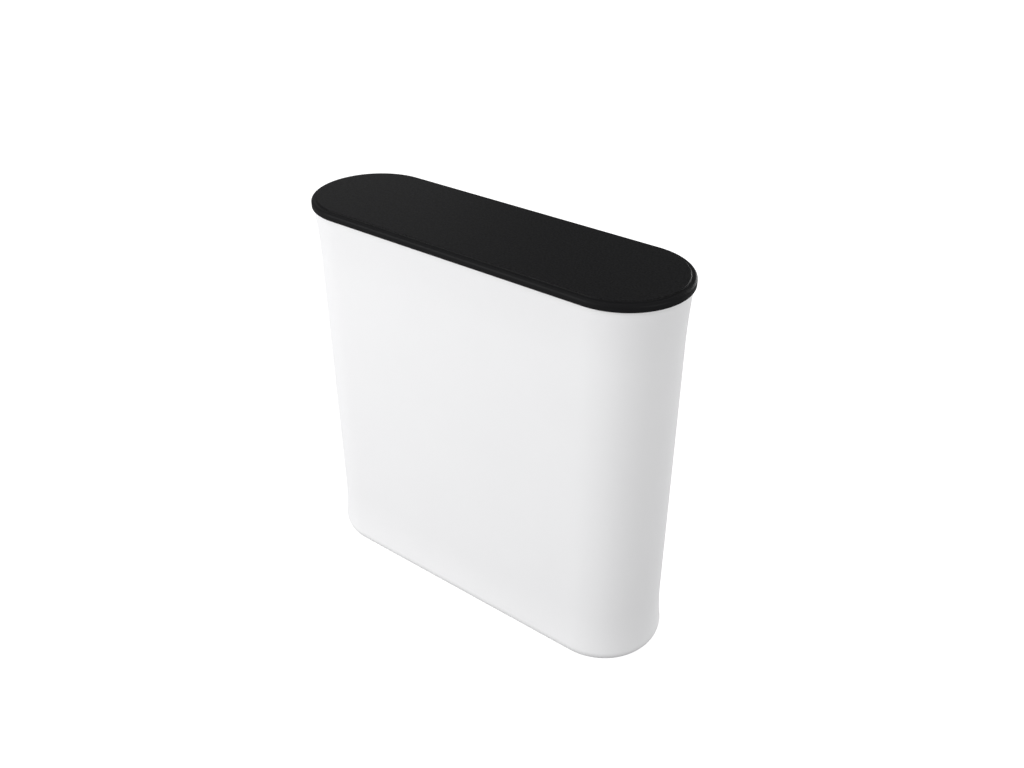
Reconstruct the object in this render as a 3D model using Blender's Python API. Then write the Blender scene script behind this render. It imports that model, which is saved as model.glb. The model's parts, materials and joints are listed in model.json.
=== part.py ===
"""Inflatable lightbox counter: an air frame in a stretch-fabric cover, lit from inside, with a loose top.

Metres, +Z up. X runs along the counter and -Y is its front. The origin is on the floor under its middle.
Most pieces follow one stadium outline: a rectangle with a half circle at each end. A section is a list of
points, each an inset from the outline of the countertop and a height, and is carried round that outline.
"""

import math

import bmesh
import bpy
from mathutils import Matrix, Vector

# The whole counter
TOP_LENGTH = 1.011
TOP_DEPTH = 0.308
HEIGHT = 1.0
GAP = 0.0003
OVERRUN = 0.004
ARC_STEPS = 16
SMOOTH_ANGLE = math.radians(35)

# Countertop
SHELL_HEIGHT = 0.0203
SHELL_WALL = 0.003
PLATEAU_STEP = 0.003
PLATEAU_INSET = 0.0125
PLATEAU_FILLET = 0.0025
RIM_RADIUS = 0.007
RIM_CHAMFER = 0.001
RIM_STEPS = 4
FILLET_STEPS = 3
STRIP_END_MARGIN = 0.0515
STRIP_WIDTH = 0.025
STRIP_THICKNESS = 0.001
STRIP_SPACING = 0.12

# Top board and the bead that holds the cover in it
TOP_BOARD_THICKNESS = 0.012
TOP_BOARD_CHAMFER = 0.0015
BEAD_WIDTH = 0.0034
BEAD_DEPTH = 0.0073
BEAD_SLACK = 0.0003

# Cover
COVER_THICKNESS = 0.0015
SHOULDER_INSET = 0.0069
SHOULDER_RADIUS = 0.003
SHOULDER_HEIGHT = 0.0221
WAIST_INSET = 0.0112
BULGE_INSET = 0.0039
UPPER_FLARE = 0.105
LOWER_FLARE = 0.115
UPPER_FLARE_POWER = 1.6
LOWER_FLARE_POWER = 2.0
UPPER_FLARE_SHARES = (0, 0.12, 0.28, 0.5, 0.75, 1)
LOWER_FLARE_SHARES = (1, 0.7, 0.45, 0.25, 0.1)
SHOULDER_STEPS = 2
ROLL_STEPS = 6
TOP_HEM = 0.016
BOTTOM_HEM = 0.0178
ELASTIC_WIDTH = 0.006
ELASTIC_THICKNESS = 0.0015

# Air frame
UPPER_RING_RADIUS = 0.026
LOWER_RING_RADIUS = 0.03
RING_SIDES = 12
COLUMN_RADIUS = 0.022
COLUMN_SIDES = 16
AIR_WALL = 0.0012
PORT_RADIUS = 0.009

# Base
BASE_BOARD_THICKNESS = 0.009
FOOT_RADIUS = 0.015
FOOT_HEIGHT = 0.006
FOOT_DRAFT = 0.002
FOOT_EDGE_MARGIN = 0.024

# Rear zip
ZIP_LOW = 0.155
ZIP_TOP_MARGIN = 0.155
ZIP_STOP_LENGTH = 0.004
TAPE_WIDTH = 0.024
TAPE_THICKNESS = 0.0008
COIL_WIDTH = 0.005
COIL_HEIGHT = 0.0016
SLIT_WIDTH = 0.007
SLIT_MARGIN = 0.01
SLIDER_LENGTH = 0.012
SLIDER_WALL = 0.0015
LUG_THICKNESS = 0.0015
LUG_LENGTH = 0.005
LUG_GAP = 0.004
PIN_RADIUS = 0.0007
PULL_EYE_RADIUS = 0.0019
PULL_PLAY = 0.00025
PULL_THICKNESS = 0.0012
PULL_NECK = 0.008
PULL_WIDTH = 0.007
PULL_LENGTH = 0.026
PULL_HOLE_RADIUS = 0.002

# Inflation valve
VALVE_X = 0.2
VALVE_SIDES = 16
FLANGE_RADIUS = 0.02
FLANGE_THICKNESS = 0.0015
SADDLE_LEAST = 0.001
SADDLE_DEPTH = 0.012
BARREL_RADIUS = 0.014
BARREL_BORE = 0.011
BARREL_LENGTH = 0.0234
WEB_DEPTH = 0.0184
WEB_THICKNESS = 0.003
WEB_WIDTH = 0.003
HUB_RADIUS = 0.005
STEM_RADIUS = 0.002
STEM_PLAY = 0.0003
DISC_RADIUS = 0.013
DISC_THICKNESS = 0.002
BUTTON_RADIUS = 0.0045
BUTTON_THICKNESS = 0.0015
PLUNGER_TRAVEL = 0.005
SPRING_CRUSHED = 0.003
SPRING_RADIUS = 0.0035
SPRING_WIRE = 0.0004
SPRING_TURNS = 3
CAP_RADIUS = 0.0145
CAP_THICKNESS = 0.002
CAP_PLUG_RADIUS = 0.0105
CAP_PLUG_LENGTH = 0.0025
CAP_HINGE_DROP = 0.0185
CAP_TAB_WIDTH = 0.008
CAP_KNUCKLE_RADIUS = 0.001
CAP_EAR_WIDTH = 0.003
VALVE_OPENING_MARGIN = 0.002

# Light bars
BAR_START = 0.1353
BAR_END_MARGIN = 0.022
BAR_WIDTH = 0.026
BAR_HEIGHT = 0.014
BAR_WALL = 0.0015
BAR_LIP = 0.0025
LED_BOARD_THICKNESS = 0.0016
LED_SIZE = 0.005
LED_HEIGHT = 0.0012
LED_COUNT = 10
LENS_WALL = 0.0015
LENS_STEPS = 10
END_CAP_LENGTH = 0.008
END_CAP_MARGIN = 0.001

# Driver
DRIVER_LENGTH = 0.16
DRIVER_WIDTH = 0.05
DRIVER_HEIGHT = 0.03
DRIVER_WALL = 0.002
GLAND_RADIUS = 0.005
GLAND_LENGTH = 0.01
GLAND_HEIGHT = 0.014
MAINS_GLAND_X = -0.06

# Leads
LEAD_RADIUS = 0.0022
MAINS_LEAD_RADIUS = 0.0032
LEAD_POINTS_PER_SPAN = 3

# Power inlet
INLET_X = -0.18
INLET_Z = 0.185
BRACKET_WIDTH = 0.084
BRACKET_THICKNESS = 0.002
BRACKET_FOOT = 0.028
BRACKET_RING_MARGIN = 0.0143
BRACKET_RISE = 0.0024
BRACKET_TOP_MARGIN = 0.004
BEZEL_WIDTH = 0.084
BEZEL_HEIGHT = 0.066
BEZEL_THICKNESS = 0.002
BEZEL_OVERLAP = 0.006
COVER_HOLE_SLACK = 0.001
SOCKET_WIDTH = 0.0274
SOCKET_HEIGHT = 0.0202
SOCKET_DEPTH = 0.0245
SOCKET_RIM = 0.0018
SOCKET_RIM_THICKNESS = 0.0012
SOCKET_RECESS_WIDTH = 0.024
SOCKET_RECESS_HEIGHT = 0.0165
SOCKET_RECESS_DEPTH = 0.017
BLADE_WIDTH = 0.002
BLADE_HEIGHT = 0.004
BLADE_LENGTH = 0.011
BLADE_SPACING = 0.007
BLADE_STEP_SHARE = 0.25
SOCKET_OFFSET = 0.013
SWITCH_OFFSET = 0.02
SWITCH_WIDTH = 0.015
SWITCH_HEIGHT = 0.022
SWITCH_DEPTH = 0.014
SWITCH_RIM = 0.0015
SWITCH_WELL_DEPTH = 0.0085
SWITCH_WALL = 0.0014
ROCKER_SLACK = 0.0004
ROCKER_REACH = 0.0084
ROCKER_CREST = 0.0036
ROCKER_VALLEY = 0.0022
ROCKER_HEEL = 0.0012
ROCKER_KEEL = 0.0038
ROCKER_PIVOT_RISE = 0.0008
ROCKER_TILT = math.radians(12)
SCREW_RADIUS = 0.0015
SCREW_HEAD_RADIUS = 0.0028
SCREW_HEAD_HEIGHT = 0.0015
SCREW_EDGE_SHARE = 0.6
SCREW_LENGTH = 0.007
SCREW_SPACING = 0.066
SCREW_SIDES = 12

# Colours, as sRGB hex, with roughness and metallic
FINISHES = {
    "moulded_black_abs": ("1d1d1e", 0.45, 0.0),
    "mdf": ("8f7457", 0.8, 0.0),
    "birch_ply": ("b9966b", 0.7, 0.0),
    "hook_nylon": ("151515", 0.95, 0.0),
    "loop_nylon": ("1b1b1c", 0.95, 0.0),
    "silicone_bead": ("d8d8d4", 0.5, 0.0),
    "stretch_fabric": ("eeeef0", 0.85, 0.0),
    "white_elastic": ("e4e4e2", 0.9, 0.0),
    "white_tpu": ("e9ecec", 0.4, 0.0),
    "foot_rubber": ("202020", 0.8, 0.0),
    "zip_nylon": ("e6e6e8", 0.6, 0.0),
    "zinc_plate": ("b8babd", 0.35, 1.0),
    "valve_nylon": ("3a3c3e", 0.5, 0.0),
    "valve_tpu": ("5a5d60", 0.5, 0.0),
    "spring_steel": ("9a9a98", 0.3, 1.0),
    "extruded_aluminium": ("b4b6b8", 0.4, 1.0),
    "led_board": ("f0efe8", 0.5, 0.0),
    "opal_polycarbonate": ("eef2f4", 0.3, 0.0),
    "grey_plastic": ("8c8f92", 0.5, 0.0),
    "driver_aluminium": ("a6a8aa", 0.45, 1.0),
    "lead_pvc": ("18181a", 0.5, 0.0),
    "galvanised_sheet": ("9ea2a5", 0.45, 1.0),
    "inlet_black": ("161617", 0.4, 0.0),
    "switch_black": ("0e0e0f", 0.35, 0.0),
}

# Heights and places that follow from these sizes
RIM_Z = HEIGHT - SHELL_HEIGHT
SHELF_Z = HEIGHT - PLATEAU_STEP
CORE_Z = RIM_Z + GAP
TOP_BOARD_Z = CORE_Z - 3 * GAP - 2 * STRIP_THICKNESS
TOP_BOARD_INSET = SHOULDER_INSET + COVER_THICKNESS + GAP
HEM_INSET = TOP_BOARD_INSET + TOP_HEM
HEM_Z = TOP_BOARD_Z + GAP + COVER_THICKNESS
SHOULDER_Z = TOP_BOARD_Z - SHOULDER_HEIGHT
RING_FACET = 2 * math.pi / RING_SIDES
ROLL_RADIUS = LOWER_RING_RADIUS + GAP + COVER_THICKNESS
FRAME_INSET = BULGE_INSET + ROLL_RADIUS
FRAME_RADIUS = TOP_DEPTH / 2 - FRAME_INSET
STRAIGHT = (TOP_LENGTH - TOP_DEPTH) / 2
LOWER_RING_Z = ROLL_RADIUS
UPPER_RING_Z = TOP_BOARD_Z - TOP_BOARD_THICKNESS - GAP - UPPER_RING_RADIUS * math.cos(RING_FACET / 2)
BASE_BOARD_LOW = FOOT_HEIGHT + GAP
BASE_BOARD_Z = BASE_BOARD_LOW + BASE_BOARD_THICKNESS
BASE_SEAT_Z = BASE_BOARD_Z + GAP
BOTTOM_HEM_INSET = FRAME_INSET + BOTTOM_HEM
REAR_Y = TOP_DEPTH / 2 - WAIST_INSET
SPRING_LENGTH = PLUNGER_TRAVEL + SPRING_CRUSHED
STRIP_LENGTH = 2 * (STRAIGHT - STRIP_END_MARGIN)
ZIP_HIGH = HEIGHT - ZIP_TOP_MARGIN
BRACKET_RISER_Y = FRAME_RADIUS - LOWER_RING_RADIUS - BRACKET_RING_MARGIN - BRACKET_THICKNESS
COLUMN_PLACES = {
    "front_left": (-STRAIGHT, -FRAME_RADIUS),
    "front_centre": (0, -FRAME_RADIUS),
    "front_right": (STRAIGHT, -FRAME_RADIUS),
    "right_end": (STRAIGHT + FRAME_RADIUS, 0),
    "rear_right": (STRAIGHT, FRAME_RADIUS),
    "rear_centre": (0, FRAME_RADIUS),
    "rear_left": (-STRAIGHT, FRAME_RADIUS),
    "left_end": (-STRAIGHT - FRAME_RADIUS, 0),
}


def linear(channel):
    """One sRGB channel, 0 to 1, as linear light."""
    if channel <= 0.04045:
        return channel / 12.92
    return ((channel + 0.055) / 1.055) ** 2.4


def material(name):
    """The named finish as a Principled material, made once."""
    if name in bpy.data.materials:
        return bpy.data.materials[name]
    code, roughness, metallic = FINISHES[name]
    made = bpy.data.materials.new(name)
    made.use_nodes = True
    shader = made.node_tree.nodes["Principled BSDF"]
    red, green, blue = (linear(int(code[i : i + 2], 16) / 255) for i in (0, 2, 4))
    shader.inputs["Base Color"].default_value = (red, green, blue, 1)
    shader.inputs["Roughness"].default_value = roughness
    shader.inputs["Metallic"].default_value = metallic
    made.diffuse_color = (red, green, blue, 1)
    return made


def finished(name, bm, finish, smooth=False):
    """An object of bm's mesh with its faces pointing out, in the named finish."""
    bmesh.ops.recalc_face_normals(bm, faces=bm.faces)
    mesh = bpy.data.meshes.new(name)
    bm.to_mesh(mesh)
    bm.free()
    mesh.materials.append(material(finish))
    if smooth:
        mesh.shade_smooth()
        mesh.set_sharp_from_angle(angle=SMOOTH_ANGLE)
    made = bpy.data.objects.new(name, mesh)
    bpy.context.collection.objects.link(made)
    return made


def combine(solid, other, operation):
    """Cuts the object other out of solid, or joins it on, and hides it as a guide."""
    modifier = solid.modifiers.new(other.name, "BOOLEAN")
    modifier.operation = operation
    modifier.solver = "EXACT"
    modifier.object = other
    other.hide_render = True
    other.display_type = "WIRE"


def cut(solid, cutter):
    combine(solid, cutter, "DIFFERENCE")


def join(solid, piece):
    combine(solid, piece, "UNION")


def move_origin(made, point):
    """Puts the object's origin on a joint's axis without moving its shape."""
    made.data.transform(Matrix.Translation(-Vector(point)))
    made.location = point


def outline(inset, z):
    """The stadium outline drawn in by inset, at height z, anticlockwise from the front right."""
    radius = TOP_DEPTH / 2 - inset
    points = []
    for side in (1, -1):
        for step in range(ARC_STEPS + 1):
            angle = math.pi * (step / ARC_STEPS - 0.5)
            x = STRAIGHT + radius * math.cos(angle)
            points.append((side * x, side * radius * math.sin(angle), z))
    return points


def swept(name, section, finish, closed=False):
    """The section's points carried round the outline. An open section ends in flat faces."""
    bm = bmesh.new()
    loops = [[bm.verts.new(point) for point in outline(inset, z)] for inset, z in section]
    following = loops[1:] + loops[:1] if closed else loops[1:]
    for low, high in zip(loops, following):
        for i, here in enumerate(low):
            after = (i + 1) % len(low)
            bm.faces.new((here, low[after], high[after], high[i]))
    if not closed:
        bm.faces.new(loops[0])
        bm.faces.new(loops[-1])
    return finished(name, bm, finish, smooth=True)


def prism(name, section, start, end, finish, axis="X"):
    """A flat section between two places along an axis. Its points are on the other two axes, in order."""
    order = {"X": (0, 1, 2), "Y": (1, 0, 2), "Z": (1, 2, 0)}[axis]
    bm = bmesh.new()
    ends = []
    for place in (start, end):
        points = [(place, first, second) for first, second in section]
        ends.append([bm.verts.new([point[i] for i in order]) for point in points])
    low, high = ends
    for i, here in enumerate(low):
        after = (i + 1) % len(low)
        bm.faces.new((here, low[after], high[after], high[i]))
    bm.faces.new(low)
    bm.faces.new(high)
    return finished(name, bm, finish)


def block(name, low, high, finish):
    """A box between two corners."""
    section = [(low[1], low[2]), (high[1], low[2]), (high[1], high[2]), (low[1], high[2])]
    return prism(name, section, low[0], high[0], finish)


def centred_block(name, centre, size, finish):
    """A box of this size round its centre."""
    half = Vector(size) / 2
    return block(name, Vector(centre) - half, Vector(centre) + half, finish)


def turned(name, section, place, finish, axis="Z", sides=VALVE_SIDES, closed=False):
    """A section of (radius, height) points spun round an axis through place."""
    bm = bmesh.new()
    verts = [bm.verts.new((radius, 0, height)) for radius, height in section]
    following = verts[1:] + verts[:1] if closed else verts[1:]
    edges = [bm.edges.new(pair) for pair in zip(verts, following)]
    bmesh.ops.spin(
        bm,
        geom=verts + edges,
        cent=(0, 0, 0),
        axis=(0, 0, 1),
        angle=2 * math.pi,
        steps=sides,
        use_merge=True,
    )
    bmesh.ops.remove_doubles(bm, verts=bm.verts, dist=GAP / 10)
    turn = {"X": Matrix.Rotation(math.pi / 2, 4, "Y"), "Y": Matrix.Rotation(-math.pi / 2, 4, "X")}
    bm.transform(Matrix.Translation(place) @ turn.get(axis, Matrix()))
    return finished(name, bm, finish, smooth=True)


def rod(name, radius, place, length, finish, axis="Z", sides=VALVE_SIDES):
    """A plain round bar that starts at place and runs along an axis."""
    section = [(0, 0), (radius, 0), (radius, length), (0, length)]
    return turned(name, section, place, finish, axis, sides)


def arc(centre, radius, start, end, steps):
    """Points on an arc, from one angle to another in degrees."""
    points = []
    for step in range(steps + 1):
        angle = math.radians(start + (end - start) * step / steps)
        points.append((centre[0] + radius * math.cos(angle), centre[1] + radius * math.sin(angle)))
    return points


def smooth_route(points):
    """Points along a smooth curve through a cord's own points."""
    route = [points[0]]
    padded = [points[0], *points, points[-1]]
    for before, start, end, after in zip(padded, padded[1:], padded[2:], padded[3:]):
        before, start, end, after = map(Vector, (before, start, end, after))
        for step in range(1, LEAD_POINTS_PER_SPAN + 1):
            t = step / LEAD_POINTS_PER_SPAN
            lean = (end - before) * t + (2 * before - 5 * start + 4 * end - after) * t**2
            lean += (3 * start - before - 3 * end + after) * t**3
            route.append(start + lean / 2)
    return route


def wire(name, points, radius, finish, resolution=1):
    """A round tube along points, with closed ends."""
    curve = bpy.data.curves.new(name, "CURVE")
    curve.dimensions = "3D"
    curve.bevel_depth = radius
    curve.bevel_resolution = resolution
    curve.use_fill_caps = True
    spline = curve.splines.new("POLY")
    spline.points.add(len(points) - 1)
    for point, place in zip(spline.points, points):
        point.co = (*place, 1)
    curve.materials.append(material(finish))
    made = bpy.data.objects.new(name, curve)
    bpy.context.collection.objects.link(made)
    return made


def ring_flat(radius):
    """The distance from a ring's centre line to its flat sides."""
    return radius * math.cos(RING_FACET / 2)


def ring_reach(radius, drop):
    """Half the width of a ring's section at this distance below its centre line."""
    facets = [RING_FACET * i for i in range(RING_SIDES // 4)]
    return min((ring_flat(radius) - drop * math.sin(a)) / math.cos(a) for a in facets)


def ring_section(radius, z):
    """The points round a ring's tube, with a flat on top and below."""
    first = math.degrees(RING_FACET) / 2
    return arc((FRAME_INSET, z), radius, first, first + 360, RING_SIDES)[:-1]


def cover_inset(z):
    """How far the cover's outer side lies inside the countertop's outline, from bulge to shoulder."""
    below = max(0, 1 - (SHOULDER_Z - z) / UPPER_FLARE) if z < SHOULDER_Z else 1
    above = max(0, 1 - (z - LOWER_RING_Z) / LOWER_FLARE)
    upper = (WAIST_INSET - SHOULDER_INSET) * below**UPPER_FLARE_POWER
    lower = (WAIST_INSET - BULGE_INSET) * above**LOWER_FLARE_POWER
    return WAIST_INSET - upper - lower


def cover_outside():
    """The cover's outer side as a section, from the end of its top hem to the end of its bottom hem."""
    shoulder = (SHOULDER_INSET + SHOULDER_RADIUS, HEM_Z - SHOULDER_RADIUS)
    heights = [SHOULDER_Z - UPPER_FLARE * share for share in UPPER_FLARE_SHARES]
    heights += [LOWER_RING_Z + LOWER_FLARE * share for share in LOWER_FLARE_SHARES]
    points = [(HEM_INSET, HEM_Z), *arc(shoulder, SHOULDER_RADIUS, 90, 180, SHOULDER_STEPS)]
    points += [(cover_inset(z), z) for z in heights]
    points += arc((FRAME_INSET, LOWER_RING_Z), ROLL_RADIUS, 180, 270, ROLL_STEPS)
    points.append((BOTTOM_HEM_INSET, 0))
    return points


def offset_section(points, distance):
    """The section moved to its left by a distance, square to itself."""
    moved = []
    for i, point in enumerate(points):
        before = Vector(points[max(i - 1, 0)])
        after = Vector(points[min(i + 1, len(points) - 1)])
        here = Vector(point)
        sides = [(b - a).normalized() for a, b in ((before, here), (here, after)) if (b - a).length]
        normals = [Vector((-side.y, side.x)) for side in sides]
        middle = sum(normals, Vector((0, 0))).normalized()
        moved.append(tuple(here + middle * (distance / middle.dot(normals[0]))))
    return moved


def countertop_shell():
    """The moulded cap: rim, rounded edge, shelf and raised middle, hollow underneath."""
    fillet = (PLATEAU_INSET + PLATEAU_FILLET, HEIGHT - PLATEAU_FILLET)
    inner = PLATEAU_INSET + PLATEAU_FILLET + SHELL_WALL
    section = [
        (inner, HEIGHT - SHELL_WALL),
        (inner, SHELF_Z - SHELL_WALL),
        (SHELL_WALL, SHELF_Z - SHELL_WALL),
        (SHELL_WALL, RIM_Z),
        (RIM_CHAMFER, RIM_Z),
        (0, RIM_Z + RIM_CHAMFER),
        *arc((RIM_RADIUS, SHELF_Z - RIM_RADIUS), RIM_RADIUS, 180, 90, RIM_STEPS),
        (PLATEAU_INSET, SHELF_Z),
        *arc(fillet, PLATEAU_FILLET, 180, 90, FILLET_STEPS),
    ]
    return swept("countertop_shell", section, "moulded_black_abs")


def countertop_core():
    """The board bonded into the shell, routed down round its edge to fit under the shelf."""
    side = SHELL_WALL + GAP
    raised = PLATEAU_INSET + PLATEAU_FILLET + SHELL_WALL + GAP
    under_shelf = SHELF_Z - SHELL_WALL - GAP
    section = [
        (side, CORE_Z),
        (side, under_shelf),
        (raised, under_shelf),
        (raised, HEIGHT - SHELL_WALL - GAP),
    ]
    return swept("countertop_core", section, "mdf")


def strips():
    """Two hook strips under the core and the two loop strips on the top board that they grip."""
    loop_z = TOP_BOARD_Z + GAP
    hook_z = loop_z + STRIP_THICKNESS + GAP
    for kind, finish, z in (("hook", "hook_nylon", hook_z), ("loop", "loop_nylon", loop_z)):
        for place, y in (("front", -STRIP_SPACING / 2), ("rear", STRIP_SPACING / 2)):
            centre = (0, y, z + STRIP_THICKNESS / 2)
            size = (STRIP_LENGTH, STRIP_WIDTH, STRIP_THICKNESS)
            centred_block(f"{kind}_strip_{place}", centre, size, finish)


def top_board():
    """The board on the upper ring, with the groove that takes the cover's bead."""
    low = TOP_BOARD_Z - TOP_BOARD_THICKNESS
    groove = HEM_INSET + GAP
    groove_end = groove + BEAD_WIDTH + 2 * BEAD_SLACK
    groove_z = TOP_BOARD_Z - BEAD_DEPTH - GAP
    section = [
        (TOP_BOARD_INSET, low),
        (TOP_BOARD_INSET, TOP_BOARD_Z - TOP_BOARD_CHAMFER),
        (TOP_BOARD_INSET + TOP_BOARD_CHAMFER, TOP_BOARD_Z),
        (groove, TOP_BOARD_Z),
        (groove, groove_z),
        (groove_end, groove_z),
        (groove_end, TOP_BOARD_Z),
    ]
    return swept("top_board", section, "birch_ply")


def keder_bead():
    """The flat silicone bead on the cover's top hem, pressed into the top board's groove."""
    outer = HEM_INSET + GAP + BEAD_SLACK
    inner = outer + BEAD_WIDTH
    low = TOP_BOARD_Z - BEAD_DEPTH
    section = [(outer, low), (inner, low), (inner, HEM_Z), (outer, HEM_Z)]
    return swept("keder_bead", section, "silicone_bead", closed=True)


def air_ring(name, radius, z, port_side):
    """A hollow ring of the air frame, with a port into each column. port_side is 1 for ports on top."""
    ring = swept(name, ring_section(radius, z), "white_tpu", closed=True)
    air = swept(f"{name}_air", ring_section(radius - AIR_WALL, z), "white_tpu", closed=True)
    cut(ring, air)
    reach = radius + OVERRUN
    for place, (x, y) in COLUMN_PLACES.items():
        low = (x, y, z if port_side > 0 else z - reach)
        cut(ring, rod(f"{name}_port_{place}", PORT_RADIUS, low, reach, "white_tpu", sides=RING_SIDES))
    return ring


def columns():
    """The eight upright air tubes, saddle cut to sit on the two rings."""
    guides = []
    for name, radius, z in (
        ("upper_seat", UPPER_RING_RADIUS, UPPER_RING_Z),
        ("lower_seat", LOWER_RING_RADIUS, LOWER_RING_Z),
    ):
        guides.append(swept(name, ring_section(radius + GAP, z), "white_tpu", closed=True))
    inner = COLUMN_RADIUS - AIR_WALL
    height = UPPER_RING_Z - LOWER_RING_Z
    section = [(inner, 0), (COLUMN_RADIUS, 0), (COLUMN_RADIUS, height), (inner, height)]
    for place, (x, y) in COLUMN_PLACES.items():
        name = f"column_{place}"
        column = turned(name, section, (x, y, LOWER_RING_Z), "white_tpu", sides=COLUMN_SIDES, closed=True)
        for guide in guides:
            cut(column, guide)


def board_radius():
    """Half the base board's depth, and the radius of its ends: it fills the lower ring."""
    reach = ring_reach(LOWER_RING_RADIUS, LOWER_RING_Z - BASE_BOARD_Z)
    return FRAME_RADIUS - reach - GAP / math.cos(RING_FACET)


def base_board():
    """The board that lies inside the lower ring and carries the light and the power parts."""
    inset = TOP_DEPTH / 2 - board_radius()
    section = [(inset, BASE_BOARD_LOW), (inset, BASE_BOARD_Z)]
    return swept("base_board", section, "birch_ply")


def feet():
    """Four rubber feet under the base board."""
    section = [(0, 0), (FOOT_RADIUS - FOOT_DRAFT, 0), (FOOT_RADIUS, FOOT_HEIGHT), (0, FOOT_HEIGHT)]
    across = board_radius() - FOOT_EDGE_MARGIN - FOOT_RADIUS
    for name, x, y in (
        ("foot_front_left", -1, -1),
        ("foot_front_right", 1, -1),
        ("foot_rear_right", 1, 1),
        ("foot_rear_left", -1, 1),
    ):
        turned(name, section, (x * STRAIGHT, y * across, 0), "foot_rubber")


def fabric_cover():
    """The stretch-fabric sleeve, hemmed over the top board and under the lower ring."""
    outside = cover_outside()
    inside = offset_section(outside, COVER_THICKNESS)
    cover = swept("fabric_cover", outside + inside[::-1], "stretch_fabric", closed=True)
    depth = WAIST_INSET + COVER_THICKNESS + OVERRUN
    slit_length = ZIP_HIGH - ZIP_LOW - 2 * SLIT_MARGIN
    slit_centre = (0, TOP_DEPTH / 2 - depth / 2, (ZIP_HIGH + ZIP_LOW) / 2)
    cut(cover, centred_block("zip_slit", slit_centre, (SLIT_WIDTH, depth, slit_length), "stretch_fabric"))
    spare = 2 * (COVER_HOLE_SLACK - BEZEL_OVERLAP)
    hole_size = (BEZEL_WIDTH + spare, depth, BEZEL_HEIGHT + spare)
    hole_centre = (INLET_X, TOP_DEPTH / 2 - depth / 2, INLET_Z)
    cut(cover, centred_block("inlet_hole", hole_centre, hole_size, "stretch_fabric"))
    valve_place = (VALVE_X, FRAME_RADIUS, LOWER_RING_Z)
    radius = FLANGE_RADIUS + VALVE_OPENING_MARGIN
    cut(cover, rod("valve_hole", radius, valve_place, TOP_DEPTH / 2, "stretch_fabric", axis="Y"))
    return cover


def hem_elastic():
    """The elastic band sewn on the bottom hem, under the lower ring."""
    low = COVER_THICKNESS + GAP
    outer = BOTTOM_HEM_INSET - ELASTIC_WIDTH
    section = [
        (outer, low),
        (BOTTOM_HEM_INSET, low),
        (BOTTOM_HEM_INSET, low + ELASTIC_THICKNESS),
        (outer, low + ELASTIC_THICKNESS),
    ]
    return swept("hem_elastic", section, "white_elastic", closed=True)


def zip_tape():
    """The zip's tape with its closed coil, along the slit in the rear."""
    back = REAR_Y + GAP
    face = back + TAPE_THICKNESS
    crest = face + COIL_HEIGHT
    tape = TAPE_WIDTH / 2
    coil = COIL_WIDTH / 2
    section = [(-tape, back), (tape, back), (tape, face), (coil, face), (coil, crest)]
    section += [(-coil, crest), (-coil, face), (-tape, face)]
    return prism("zip_tape", section, ZIP_LOW, ZIP_HIGH, "zip_nylon", axis="Z")


def zip_levels():
    """Places along Y of the zip: the tape's face, the slider's back, roof and face, and the pull's pin."""
    face = REAR_Y + GAP + TAPE_THICKNESS
    roof = face + COIL_HEIGHT + GAP
    front = roof + SLIDER_WALL
    pin = front + PULL_EYE_RADIUS + GAP
    return face, face + GAP, roof, front, pin


def slider_z():
    """The slider's middle when the zip is closed."""
    return ZIP_HIGH - ZIP_STOP_LENGTH - GAP - SLIDER_LENGTH / 2


def zip_stops():
    """The two stops that end the slider's run."""
    face = zip_levels()[0]
    half = COIL_WIDTH / 2 + GAP
    roof = face + COIL_HEIGHT + GAP
    wide = half + SLIDER_WALL
    front = roof + SLIDER_WALL
    section = [(-wide, face + GAP), (-half, face + GAP), (-half, roof), (half, roof)]
    section += [(half, face + GAP), (wide, face + GAP), (wide, front), (-wide, front)]
    prism("zip_top_stop", section, ZIP_HIGH - ZIP_STOP_LENGTH, ZIP_HIGH, "zinc_plate", axis="Z")
    prism("zip_bottom_stop", section, ZIP_LOW, ZIP_LOW + ZIP_STOP_LENGTH, "zinc_plate", axis="Z")


def zip_slider():
    """The slider: a body over the coil, with two lugs and the pin that the pull hangs on."""
    back, roof, front, pin = zip_levels()[1:]
    half = COIL_WIDTH / 2 + GAP
    wide = half + SLIDER_WALL
    z = slider_z()
    section = [(-wide, back), (-half, back), (-half, roof), (half, roof)]
    section += [(half, back), (wide, back), (wide, front), (-wide, front)]
    low = z - SLIDER_LENGTH / 2
    slider = prism("zip_slider", section, low, low + SLIDER_LENGTH, "zinc_plate", axis="Z")
    lug_low = front - SLIDER_WALL / 2
    lug_high = pin + PULL_EYE_RADIUS
    for name, side in (("left", -1), ("right", 1)):
        x = side * (LUG_GAP + LUG_THICKNESS) / 2
        centre = (x, (lug_low + lug_high) / 2, z)
        size = (LUG_THICKNESS, lug_high - lug_low, LUG_LENGTH)
        join(slider, centred_block(f"slider_lug_{name}", centre, size, "zinc_plate"))
    start = -(LUG_GAP + LUG_THICKNESS) / 2
    place = (start, pin, z)
    join(slider, rod("slider_pin", PIN_RADIUS, place, -2 * start, "zinc_plate", axis="X", sides=RING_SIDES))
    return slider


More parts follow.
